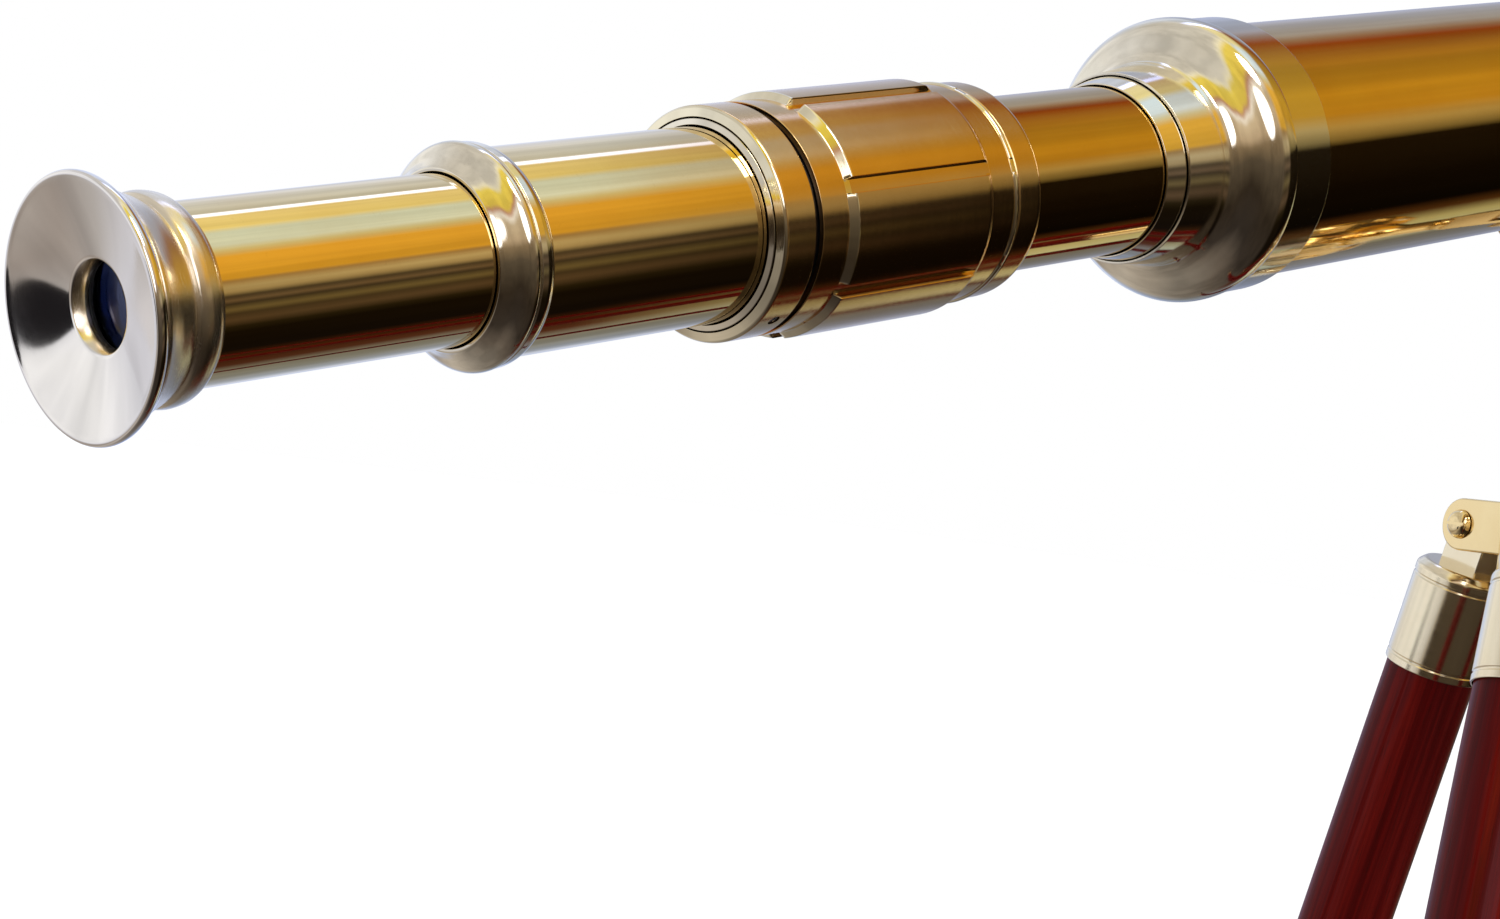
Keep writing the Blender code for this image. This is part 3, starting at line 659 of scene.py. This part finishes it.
def in_flute(angle):
    """1 on a flute's floor, 0 on a land, and between them a smooth wall."""
    off = (angle - FIRST_FLUTE + FLUTE_PITCH / 2) % FLUTE_PITCH - FLUTE_PITCH / 2
    share = (FLUTE_HALF - abs(off) * FLUTE_RADIUS) / FLUTE_WALL
    share = max(0.0, min(1.0, (share + 1) / 2))
    return share * share * (3 - 2 * share)


def build_fluted_ring():
    corners = [(149.6, 22.0, 0.1), (149.6, 23.1, 0.15), (156.9, 23.1, 0.12), (158.2, 24.5, 0.25),
               (197.8, 24.5, 0.6), (199.9, 22.95, 0.5), *bead(207.4, 22.9, 1.2, 0.4),
               (208.1, 22.85, 0), (208.1, 22.0, 0.05)]

    def cut(station, radius, angle):
        if radius <= FLUTE_FLOOR or station < FLUTES_START:
            return radius
        return radius + (FLUTE_FLOOR - radius) * in_flute(angle)

    turned("fine_fluted_focus_ring", corners, SCOPE, RING, "focus_ring", "satin_brass",
           radius_at=cut, angles=flute_angles())


def build_barrel():
    collar = [(269.1, 20.95, 0.08), (269.1, 21.5, 0.15), (281.0, 22.8, 1.5)]
    collar += spline([(282.4, 23.3), (283.6, 24.6), (284.4, 26.0), (285.2, 27.7), (286.2, 29.6),
                      (287.4, 31.05), (289.0, 32.2), (291.0, 32.68), (293.2, 32.62),
                      (294.5, 32.35)], 5)
    collar += [(294.85, 32.1, 0.08), (295.05, 31.95, 0.05), (308.3, 31.95, 0.3), (308.8, 31.2, 0.2),
               (308.8, 30.2, 0.1), (290.0, 30.2), (290.0, 28.2), (305.0, 28.2), (305.0, 20.95)]
    turned("fine_barrel_end_collar", collar, SCOPE, PALE, "telescope", "pale_brass", sides=176)
    bush = [(263.5, 19.15, 0.05), (263.5, 19.5, 0.12), (268.7, 20.65, 0.2), (305.0, 20.65),
            (305.0, 19.15)]
    turned("fine_barrel_bush", bush, SCOPE, PALE, "telescope", "pale_brass", sides=160)
    bore = BARREL_RADIUS - 1
    tube = [(BARREL_START, bore), (BARREL_START, BARREL_RADIUS), (BARREL_END, BARREL_RADIUS),
            (BARREL_END, bore)]
    turned("fine_main_barrel", tube, SCOPE, BARREL, "telescope", "polished_brass", sides=192)
    cell = [(815.0, 25.5), (815.0, 28.6), (838.3, 28.6), (838.3, 29.9), (846.0, 29.9, 0.4),
            (846.0, 27.2, 0.4), (821.0, 27.2), (821.0, 25.5)]
    turned("fine_objective_cell", cell, SCOPE, FITTING, "telescope", "polished_brass")
    flint = [(821.3, 0.0), (821.3, 26.9, 0.3), (830.0, 26.9, 0.3), (830.0, 0.0)]
    turned("fine_flint_lens", flint, SCOPE, GLASS, "telescope", "glass", closed=False)
    crown = [(830.3, 0.0), (830.3, 26.9, 0.3)]
    crown += spline([(838.0, 26.9), (838.8, 20.0), (839.4, 13.0), (839.8, 6.0), (839.8, 0.0)])
    turned("fine_crown_lens", crown, SCOPE, GLASS, "telescope", "glass", closed=False)
    keeper = [(838.6, 24.5), (838.6, 26.9), (842.5, 26.9, 0.4), (842.5, 24.9, 0.5), (841.0, 24.5)]
    turned("fine_lens_retaining_ring", keeper, SCOPE, BLACK, "telescope", "black_lacquer")
    shade = [(808.3, 31.2), (808.3, 32.0), (891.7, 32.0), (891.7, 31.2)]
    turned("fine_sunshade", shade, SCOPE, MIRROR, "sunshade", "polished_brass", sides=176)
    rear = [(800.0, 30.3), (800.0, 31.7, 0.3), (801.2, 32.4, 0.5), (802.6, 33.0, 0.6),
            (805.8, 33.0, 0.4), (806.4, 32.5, 0.1), (808.0, 32.45, 0.3), (808.0, 30.9),
            (811.0, 30.9), (811.0, 30.3)]
    turned("fine_sunshade_slide_ring", rear, SCOPE, FITTING, "sunshade", "polished_brass",
           sides=176)
    front = [(889.0, 30.2), (889.0, 30.9), (892.0, 30.9), (892.0, 32.4, 0.3), (893.2, 32.6, 0.2),
             (894.6, 33.4, 0.5), (899.3, 33.4, 0.6), (900.0, 32.6, 0.3), (900.0, 30.8, 0.4),
             (899.2, 30.2, 0.3)]
    turned("fine_sunshade_front_ring", front, SCOPE, FITTING, "sunshade", "polished_brass",
           sides=176)


build_eyepiece()
build_draws()
build_focus()
build_barrel()


# CAD nodes that stay as they are get their finish here.
def dress(names, look):
    for name in names:
        node = frame["nodes"][name]
        node.data.materials.clear()
        node.data.materials.append(look)
        for polygon in node.data.polygons:
            polygon.use_smooth = True


dress(["field_lens", "erector_lens_rear", "erector_lens_front"], GLASS)
dress(["erector_tube"], BLACK)
dress(["tube_1_stop_ring", "tube_2_stop_ring", "tube_3_stop_ring"], FITTING)


# Cradle, in a frame on the telescope's axis with X along it and Z up. SEAT is the radius that the
# barrel lies in, and the two planes are square to the telescope and along it.
SEAT = BARREL_RADIUS + 0.3
SIDEWAYS = plane_of((0, 1, 0), (0, 0, 1))
UPRIGHT = plane_of((1, 0, 0), (0, 0, 1))


def slotted_screw(corners, top, width, y=0.0):
    """A screw with a slot sawn across its head, whose top is at this station."""
    reach = 2 * max(corner[1] for corner in corners)
    saw = [(-reach, -width / 2, 0), (reach, -width / 2, 0), (reach, width / 2, 0),
           (-reach, width / 2, 0)]
    cut = plate_mesh(saw, 2 * width, plane_of((1, 0, 0), (0, 1, 0), (0, 0, top)), 0.0)
    mesh = combined(lathe_mesh("screw", corners, False, 72), cuts=[cut])
    mesh.transform(Matrix.Translation((0, y * MM, 0)))
    return mesh


def build_cradle():
    seat_edge = -SEAT * math.cos(math.asin(10 / SEAT))
    outline = [(seat_edge, -10, 0), (-41, -10, 1.0), (-41, -21, 2.5), (-27, -40, 4.0),
               (-12, -46, 3.0), (12, -46, 3.0), (27, -40, 4.0), (41, -21, 2.5), (41, -10, 1.0)]
    start = math.degrees(math.asin(-10 / SEAT))
    outline += arc((0, 0), SEAT, start, -180 - start, 60)
    tongue = [(-11, -42, 0), *arc((0, -PIVOT_DROP), 11, 180, 360), (11, -42, 0)]
    pivot = rod_mesh((0, -20, -PIVOT_DROP), (0, 20, -PIVOT_DROP), 3.4)
    sides = {"left": BAND_SCREW_OFFSET, "right": -BAND_SCREW_OFFSET}
    bores = [rod_mesh((0, y, -19.5), (0, y, 0), 2.3) for y in sides.values()]
    block = plate_mesh(outline, 36, SIDEWAYS, 1.0)
    saddle = combined(block, [plate_mesh(tongue, 12, UPRIGHT, 0.7)], [pivot, *bores])
    built("fine_saddle", saddle, CRADLE, FITTING, "telescope", "polished_brass")

    crown = BARREL_RADIUS + 2.6
    start = math.degrees(math.asin(-6.5 / crown))
    end = math.degrees(math.asin(-9.7 / SEAT))
    inner = arc((0, 0), SEAT, 180 - end, end, 90)
    outer = arc((0, 0), crown, start, 180 - start, 90)
    outline = [*inner, (41, -9.7, 0.4), (41, -6.5, 0.8), *outer, (-41, -6.5, 0.8), (-41, -9.7, 0.4)]
    bores = [rod_mesh((0, y, -15), (0, y, 0), 2.3) for y in sides.values()]
    band = combined(plate_mesh(outline, 35, SIDEWAYS, 0.6), cuts=bores)
    built("fine_barrel_band", band, CRADLE, FITTING, "telescope", "polished_brass")
    screw = [(-19, 0), (-19, 2, 0.4), (-6.2, 2), (-6.2, 3.6, 0.3), (-4.2, 3.6, 0.8),
             (-3.0, 2.4, 0.8), (-3.0, 0)]
    for side, y in sides.items():
        mesh = slotted_screw(screw, -3.0, 0.8, y)
        built(f"fine_band_screw_{side}", mesh, CRADLE, FITTING, "telescope", "polished_brass")


# Pan head and tripod head, centred on the tripod's axis at the leg hinges' level.
def thumb_screw(tip, shank, collar, head_start, head_radius, head_length):
    """The profile of a screw with a collar and a round head, from the stations of its steps."""
    end = head_start + head_length
    neck = head_radius * 0.6
    return [
        (tip, 0),
        (tip, shank, 0.4),
        (collar, shank),
        (collar, neck, 0.3),
        (head_start, neck),
        (head_start + 0.5, head_radius, 0.5),
        (end - 1.0, head_radius, 0.6),
        (end, head_radius * 0.8, 0.6),
        (end - 0.5, head_radius * 0.5, 0.6),
        (end - 0.5, 0),
    ]


def build_pan_head():
    pivot = (PIVOT - HEAD_CENTRE).z / MM
    flange = HUB_TOP + 0.3
    post = [(HUB_BOTTOM, 0), (HUB_BOTTOM, 8, 0.5), (flange, 8), (flange, 20, 0.6),
            (flange + 3.2, 20, 0.8), (flange + 3.6, 18.6, 0.2), (flange + 4.4, 18.4, 0.3),
            (flange + 5.7, 17, 0.8), (flange + 8.7, 12.5, 3.0), (pivot - 33, 11.0, 2.0),
            (pivot - 31, 12.2, 0.8), (pivot - 29.5, 12.2, 0.8), (pivot - 28.3, 11.0, 0.3),
            (pivot - 27.2, 9.5), (pivot - 18, 9.5), (pivot - 18, 0)]
    block = [(-10.5, -12.4, 0.8), (10.5, -12.4, 0.8), (10.5, 12.4, 0.8), (-10.5, 12.4, 0.8)]
    base = plate_mesh(block, 15, plane_of((1, 0, 0), (0, 1, 0), (0, 0, pivot - 20.5)), 0.7)
    ear = [(-10.5, pivot - 16, 0), (10.5, pivot - 16, 0), *arc((0, pivot), 10.5, 0, 180)]
    planes = [plane_of((1, 0, 0), (0, 0, 1), (0, y, 0)) for y in (-9.4, 9.4)]
    ears = [plate_mesh(ear, 5.8, plane, 0.7) for plane in planes]
    hole = rod_mesh((0, -20, pivot), (0, 20, pivot), 3.4)
    mesh = combined(lathe_mesh("post", post, False, 128), [base, *ears], [hole])
    built("fine_pan_post", mesh, HEAD, FITTING, "pan_head", "polished_brass")

    across = axes(PIVOT, LEFT, UP * -1)
    bolt = [(-16.4, 0), (-16.4, 4.0, 0.6), (-15.4, 5.6, 0.8), (-12.7, 5.6, 0.2), (-12.7, 3.0),
            (21.5, 3.0, 0.5), (21.5, 0)]
    built("fine_tilt_bolt", slotted_screw(bolt, -16.4, 1.0), across, FITTING, "pan_head",
          "polished_brass")
    knob = [(12.7, 3.3), (12.7, 6.0, 0.3), (14.5, 6.0, 0.5), (15.0, 9.5, 0.4), (20.5, 9.5, 0.8),
            (22.0, 8.0, 0.8), (21.6, 5.0, 0.8), (22.0, 3.3, 0.2)]
    turned("fine_tilt_knob", knob, across, FITTING, "tilt_knob", "polished_brass", sides=288,
           radius_at=knurled(36, 9.3))

    where = axes(HEAD_CENTRE + UP * LOCK_SCREW_HEIGHT * MM, LOCK_SCREW_OUT, UP)
    lock = thumb_screw(8.3, 2.5, 27.0, 31.0, 8.0, 6.0)
    turned("fine_pan_lock_screw", lock, where, FITTING, "pan_lock", "polished_brass", closed=False,
           sides=256, radius_at=knurled(32, 7.9))


def build_tripod_head():
    hub = [(HUB_BOTTOM, 8.3), (HUB_BOTTOM, 21, 1.0), (HUB_BOTTOM + 5, 26.0, 1.5),
           (HUB_TOP - 3.6, 26.0, 0.3), (HUB_TOP - 3.3, 25.6, 0.2), (HUB_TOP - 2.7, 25.6, 0.2),
           (HUB_TOP - 2.4, 26.0, 0.3), (HUB_TOP - 1.2, 26.0, 0.5), (HUB_TOP, 24.5, 0.6),
           (HUB_TOP, 8.3, 0.3)]
    joins, cuts = [], []
    for number in (1, 2, 3):
        fold = joint(f"leg_fold_{number}")
        across = Vector(fold["axis"])
        hinge = (Vector(fold["pos_m"]) - HEAD_CENTRE) / MM
        out = hinge.normalized()
        outline = [(-22, -EAR_RADIUS, 0), *arc((0, 0), EAR_RADIUS, -90, 90), (-22, EAR_RADIUS, 0)]
        for side in (-6.3, 6.3):
            plane = plane_of(out, (0, 0, 1), hinge + across * side)
            joins.append(plate_mesh(outline, 4, plane, 0.6))
        cuts.append(rod_mesh(hinge - across * 12, hinge + across * 12, 2.8))
        pin = [(-11.4, 0), (-11.2, 2.4, 1.0), (-10.2, 3.8, 1.2), (-8.6, 4.4, 0.2), (-8.6, 2.4),
               (8.6, 2.4), (8.6, 4.4, 0.2), (10.2, 3.8, 1.2), (11.2, 2.4, 1.0), (11.4, 0)]
        pin = slotted_screw(pin, 11.4, 0.8)
        where = axes(fold["pos_m"], across, UP)
        built(f"fine_leg_pin_{number}", pin, where, FITTING, "tripod_head", "polished_brass")
    at = UP * LOCK_SCREW_HEIGHT
    cuts.append(rod_mesh(at + LOCK_SCREW_OUT * 5, at + LOCK_SCREW_OUT * 30, 2.9))
    mesh = combined(lathe_mesh("hub", hub, True, 160), joins, cuts)
    built("fine_tripod_head", mesh, HEAD, FITTING, "tripod_head", "polished_brass")


# Legs, each in a frame with Z from the hinge pin down the leg and Y along the pin.
def build_leg(number):
    place = leg_frame(number)
    upper = f"leg_{number}"
    cap = [(13.2, 0), (13.2, 12.4, 0.8), (15.2, 14.4, 0.8), (17.5, 14.4, 0.1), (17.8, 14.1, 0.1),
           (18.4, 14.1, 0.1), (18.7, 14.4, 0.1), (42.6, 14.4, 0.1), (42.9, 14.1, 0.1),
           (43.5, 14.1, 0.1), (43.8, 14.4, 0.1), (45.9, 14.4, 0.4), (45.9, 13.8), (17.0, 13.8),
           (17.0, 0)]
    tongue = [(-EAR_RADIUS, 15, 0), *arc((0, 0), EAR_RADIUS, 180, 360), (EAR_RADIUS, 15, 0)]
    tongue = plate_mesh(tongue, 8, UPRIGHT, 0.6)
    bore = rod_mesh((0, -8, 0), (0, 8, 0), 2.7)
    mesh = combined(lathe_mesh("cap", cap, False, 96), [tongue], [bore])
    built(f"fine_leg_cap_{number}", mesh, place, CAP, upper, "polished_brass")
    wood = [(17.3, 0.0), (17.3, 13.0, 0.5), (46.2, 13.45, 0.4), (60.0, 13.5, 5.0),
            (622.5, 13.5, 0.5), (640.0, 13.4, 0.5), (640.0, 8.6, 0.5), (150.0, 8.6, 0.5),
            (150.0, 0.0)]
    turned(f"fine_upper_leg_{number}", wood, place, WOOD, upper, "mahogany", closed=False, sides=72)
    clamp = [(622.0, 13.8), (622.0, 14.6, 0.3), (624.0, 15.6, 0.8), (626.0, 15.6, 0.1),
             (626.4, 15.2, 0.1), (627.2, 15.2, 0.1), (627.6, 15.6, 0.1), (655.0, 15.6, 0.9),
             (658.0, 13.5, 0.9), (658.0, 8.4, 0.3), (640.3, 8.4), (640.3, 13.8)]
    boss = rod_mesh((-10, 0, CLAMP_STATION), (-18.5, 0, CLAMP_STATION), 5.0, 0.6)
    bores = [rod_mesh((0, 0, 635), (0, 0, 665), 8.4, sides=96),
             rod_mesh((-5, 0, CLAMP_STATION), (-21, 0, CLAMP_STATION), 2.8)]
    mesh = combined(lathe_mesh("clamp", clamp, True, 96), [boss], bores)
    built(f"fine_leg_clamp_{number}", mesh, place, FITTING, upper, "polished_brass")
    build_lower_leg(number, place)
    down = Vector(joint(f"leg_extend_{number}")["axis"])
    across = Vector(joint(f"leg_fold_{number}")["axis"])
    where = axes(place.translation + down * CLAMP_STATION * MM, down.cross(across), across)
    screw = thumb_screw(8.6, 2.4, 18.8, 21.0, 7.0, 6.0)
    turned(f"fine_leg_screw_{number}", screw, where, FITTING, f"leg_screw_{number}",
           "polished_brass", closed=False, sides=224, radius_at=knurled(28, 6.9))


def build_lower_leg(number, place):
    """The sliding leg, and its foot, a ball cut flat at the floor."""
    body = f"lower_leg_{number}"
    height = place.translation.z / MM
    slope = -(place.to_3x3() @ Vector((0, 0, 1))).z
    length = (height - FOOT_CENTRE_HEIGHT) / slope
    wood = [(560.0, 0.0), (560.0, 8.0, 0.8), (length - 22, 8.0, 0.3), (length - 22, 0.0)]
    turned(f"fine_lower_leg_{number}", wood, place, WOOD, body, "mahogany", closed=False, sides=48)
    ball = arc((length, 0), FOOT_BALL_RADIUS, 120, 0, 30)
    foot = [(length - 21.7, 0), (length - 21.7, 8.3), (length - 45, 8.3), (length - 45, 9.0, 0.3),
            (length - 42, 9.0, 0.1), (length - 41.6, 8.7, 0.1), (length - 41, 8.7, 0.1),
            (length - 40.6, 9.0, 0.1), (length - 14, 9.0, 0.8), (length - 10, 6.5, 1.5),
            (length - 6, 6.0, 0.8), *ball]
    mesh = lathe_mesh("foot", foot, False, 96)
    bm = bmesh.new()
    bm.from_mesh(mesh)
    to_local = place.inverted()
    down = to_local.to_3x3() @ Vector((0, 0, -1))
    on_floor = to_local @ Vector((place.translation.x, place.translation.y, 0))
    everything = bm.verts[:] + bm.edges[:] + bm.faces[:]
    sliced = bmesh.ops.bisect_plane(
        bm, geom=everything, dist=WELD, plane_co=on_floor, plane_no=down, clear_outer=True
    )
    rim = [e for e in sliced["geom_cut"] if isinstance(e, bmesh.types.BMEdge)]
    bmesh.ops.edgeloop_fill(bm, edges=rim)
    mesh = finish_mesh(bm, "foot")
    # The foot's own frame is level, so that its bounding box is exact.
    mesh.transform(place.to_3x3().to_4x4())
    built(f"fine_foot_{number}", mesh, Matrix.Translation(place.translation), FITTING, body,
          "polished_brass")


build_cradle()
build_pan_head()
build_tripod_head()
for number in (1, 2, 3):
    build_leg(number)


# Studio: pale floor, white surround, and what the brass reflects.
FLOOR_HALF = 60
FLOOR_DROP = 0.0005


def build_floor():
    bm = bmesh.new()
    bmesh.ops.create_grid(bm, x_segments=4, y_segments=4, size=FLOOR_HALF)
    mesh = finish_mesh(bm, "floor")
    made, n, shader, place = new_material("pale_floor")
    cloud = n.noise(place, 3.0, 4.0, 0.5)
    n.feed(shader.inputs["Base Color"], n.mix(cloud, (0.90, 0.90, 0.90, 1), (0.93, 0.93, 0.93, 1)))
    shader.inputs["Roughness"].default_value = 0.9
    shader.inputs["Specular IOR Level"].default_value = 0.1
    floor = add_object("floor", mesh, Matrix.Translation((0, 0, -FLOOR_DROP)), made)
    floor.visible_glossy = False


# What the brass reflects, by angle about the telescope's axis: 0 is level to the left, and 0.25 is
# overhead. How far ahead a direction points, as its share of the axis, picks the row of colours:
# REAR_SURROUND up to REAR_ENDS, NEAR_SURROUND from NEAR_STARTS to NEAR_ENDS, and FAR_SURROUND from
# FAR_STARTS. The rows blend in between.
REAR_ENDS = 0.12
NEAR_STARTS = 0.42
NEAR_ENDS = 0.66
FAR_STARTS = 0.76
NEAR_SURROUND = [
    (0.00, (0.72, 0.80, 1.05)), (0.14, (0.66, 0.74, 0.96)), (0.175, (0.62, 0.68, 0.84)),
    (0.18, (1.7, 2.0, 3.6)), (0.192, (1.7, 2.0, 3.6)), (0.197, (0.86, 0.78, 0.48)),
    (0.255, (0.84, 0.76, 0.40)), (0.275, (0.70, 0.86, 1.05)), (0.325, (0.74, 0.88, 1.05)),
    (0.345, (0.66, 0.62, 0.42)), (0.37, (0.74, 0.42, 0.06)), (0.445, (0.72, 0.41, 0.05)),
    (0.455, (0.34, 0.22, 0.10)), (0.475, (0.46, 0.38, 0.24)), (0.49, (0.38, 0.30, 0.18)),
    (0.505, (0.06, 0.045, 0.03)), (0.52, (0.13, 0.09, 0.06)), (0.53, (0.04, 0.03, 0.02)),
    (0.55, (0.13, 0.10, 0.05)), (0.565, (0.05, 0.035, 0.02)), (0.585, (0.10, 0.065, 0.04)),
    (0.61, (0.02, 0.014, 0.006)), (0.63, (0.008, 0.005, 0.002)), (0.70, (0.006, 0.004, 0.003)),
    (0.73, (0.05, 0.016, 0.006)), (0.77, (0.08, 0.03, 0.02)), (0.80, (0.20, 0.21, 0.24)),
    (0.84, (0.22, 0.25, 0.32)), (0.89, (0.34, 0.42, 0.66)), (0.93, (0.62, 0.72, 1.02)),
]
FAR_SURROUND = [
    (0.00, (0.50, 0.56, 0.80)), (0.10, (0.40, 0.45, 0.62)), (0.15, (0.36, 0.38, 0.50)),
    (0.18, (0.28, 0.19, 0.16)), (0.205, (0.26, 0.06, 0.01)), (0.24, (0.30, 0.14, 0.03)),
    (0.30, (0.42, 0.24, 0.03)), (0.37, (0.56, 0.32, 0.03)), (0.42, (0.50, 0.28, 0.03)),
    (0.455, (0.42, 0.32, 0.14)), (0.485, (0.18, 0.14, 0.06)), (0.50, (0.01, 0.006, 0.002)),
    (0.69, (0.003, 0.002, 0.001)), (0.72, (0.07, 0.03, 0.01)), (0.755, (0.40, 0.40, 0.24)),
    (0.80, (0.46, 0.50, 0.40)), (0.825, (0.16, 0.17, 0.19)), (0.90, (0.24, 0.28, 0.40)),
    (0.95, (0.36, 0.40, 0.56)),
]
REAR_SURROUND = [
    (0.00, (0.74, 0.76, 0.86)), (0.03, (0.90, 0.92, 0.98)), (0.08, (0.80, 0.82, 0.90)),
    (0.14, (0.58, 0.57, 0.58)), (0.24, (0.66, 0.64, 0.62)), (0.255, (0.90, 0.86, 0.70)),
    (0.27, (0.82, 0.66, 0.12)), (0.32, (0.74, 0.56, 0.10)), (0.335, (0.50, 0.26, 0.18)),
    (0.355, (0.92, 0.86, 0.82)), (0.38, (0.62, 0.50, 0.36)), (0.44, (0.52, 0.40, 0.28)),
    (0.47, (0.22, 0.16, 0.10)), (0.52, (0.09, 0.07, 0.05)), (0.62, (0.03, 0.022, 0.016)),
    (0.72, (0.035, 0.028, 0.025)), (0.78, (0.12, 0.10, 0.09)), (0.84, (0.22, 0.20, 0.19)),
    (0.90, (0.50, 0.46, 0.44)), (0.925, (0.34, 0.30, 0.28)), (0.95, (0.42, 0.40, 0.40)),
    (0.975, (0.66, 0.67, 0.76)),
]
# Directions behind, as shares of forward, left and over: a dark figure and a bright window.
FIGURE = (-0.864, 0.499, -0.069)
WINDOW = (-0.50, -0.73, 0.46)


def build_surround():
    world = bpy.data.worlds.new("studio")
    bpy.context.scene.world = world
    world.use_nodes = True
    n = Nodes(world.node_tree)
    background = world.node_tree.nodes["Background"]
    way = n.add("ShaderNodeTexCoord").outputs["Generated"]

    def along(direction):
        dot = n.add("ShaderNodeVectorMath", {0: way, 1: tuple(direction)}, operation="DOT_PRODUCT")
        return dot.outputs["Value"]

    ahead = along(FORWARD)
    turn = n.math("ARCTAN2", along(OVER), along(LEFT))
    place = n.math("FRACT", n.math("ADD", n.math("DIVIDE", turn, 2 * math.pi), 1.0))
    near = n.ramp(place, NEAR_SURROUND)
    far = n.ramp(place, FAR_SURROUND)
    rear = n.ramp(place, REAR_SURROUND)

    def rising(value, low, high):
        """0 up to low, 1 from high, and a straight climb between them."""
        limits = {"Value": value, "From Min": low, "From Max": high}
        return n.add("ShaderNodeMapRange", limits).outputs["Result"]

    seen = n.mix(rising(ahead, NEAR_ENDS, FAR_STARTS), near, far)
    seen = n.mix(rising(ahead, REAR_ENDS, NEAR_STARTS), rear, seen)
    cloud = n.noise(way, 3.5, 3.0, 0.6)
    patches = n.ramp(cloud, [(0.38, (0.86, 0.86, 0.86)), (0.62, (1.1, 1.1, 1.1))])
    seen = n.mix(1.0, seen, patches, blend="MULTIPLY")

    def disc(place, inner, outer):
        """1 within inner degrees of a direction, falling to 0 at outer degrees."""
        centre = (FORWARD * place[0] + LEFT * place[1] + OVER * place[2]).normalized()
        edge, core = math.cos(math.radians(outer)), math.cos(math.radians(inner))
        return rising(along(centre), edge, core)

    seen = n.mix(disc(FIGURE, 7.0, 7.6), seen, (0.012, 0.011, 0.013, 1))
    seen = n.mix(disc(WINDOW, 15, 18), seen, (2.2, 2.2, 2.4, 1))
    rays = n.add("ShaderNodeLightPath").outputs
    white = (1.0, 1.0, 1.0, 1)
    soft = n.mix(rays["Is Glossy Ray"], white, seen)
    lit = n.mix(rays["Is Camera Ray"], soft, white)
    n.feed(background.inputs["Color"], lit)


def build_light():
    sun = bpy.data.lights.new("soft_sun", "SUN")
    sun.energy = 0.9
    sun.angle = math.radians(25)
    obj = bpy.data.objects.new("soft_sun", sun)
    bpy.context.scene.collection.objects.link(obj)
    obj.rotation_euler = (math.radians(28), math.radians(-20), 0)


# The camera's place in metres from the eyepiece rim, its angles in degrees and its lens in mm.
CAMERA_BEHIND = Vector((-0.25352, -0.39906, -0.01246))
CAMERA_AZIMUTH = 44.19
CAMERA_ELEVATION = 0.3
CAMERA_ROLL = 7.3
CAMERA_LENS = 69.18


def build_camera():
    data = bpy.data.cameras.new("camera")
    data.lens = CAMERA_LENS
    data.sensor_width = 36.0
    data.clip_start = 0.02
    data.clip_end = 200
    camera = bpy.data.objects.new("camera", data)
    bpy.context.scene.collection.objects.link(camera)
    azimuth = math.radians(CAMERA_AZIMUTH)
    rise = math.radians(CAMERA_ELEVATION)
    level = math.cos(rise)
    look = Vector((math.cos(azimuth) * level, math.sin(azimuth) * level, math.sin(rise)))
    aim = look.to_track_quat("-Z", "Y").to_matrix().to_4x4()
    roll = Matrix.Rotation(math.radians(CAMERA_ROLL), 4, "Z")
    camera.matrix_world = Matrix.Translation(RIM + CAMERA_BEHIND) @ aim @ roll
    bpy.context.scene.camera = camera


build_floor()
build_surround()
build_light()
build_camera()
bpy.context.scene.view_settings.view_transform = "Standard"
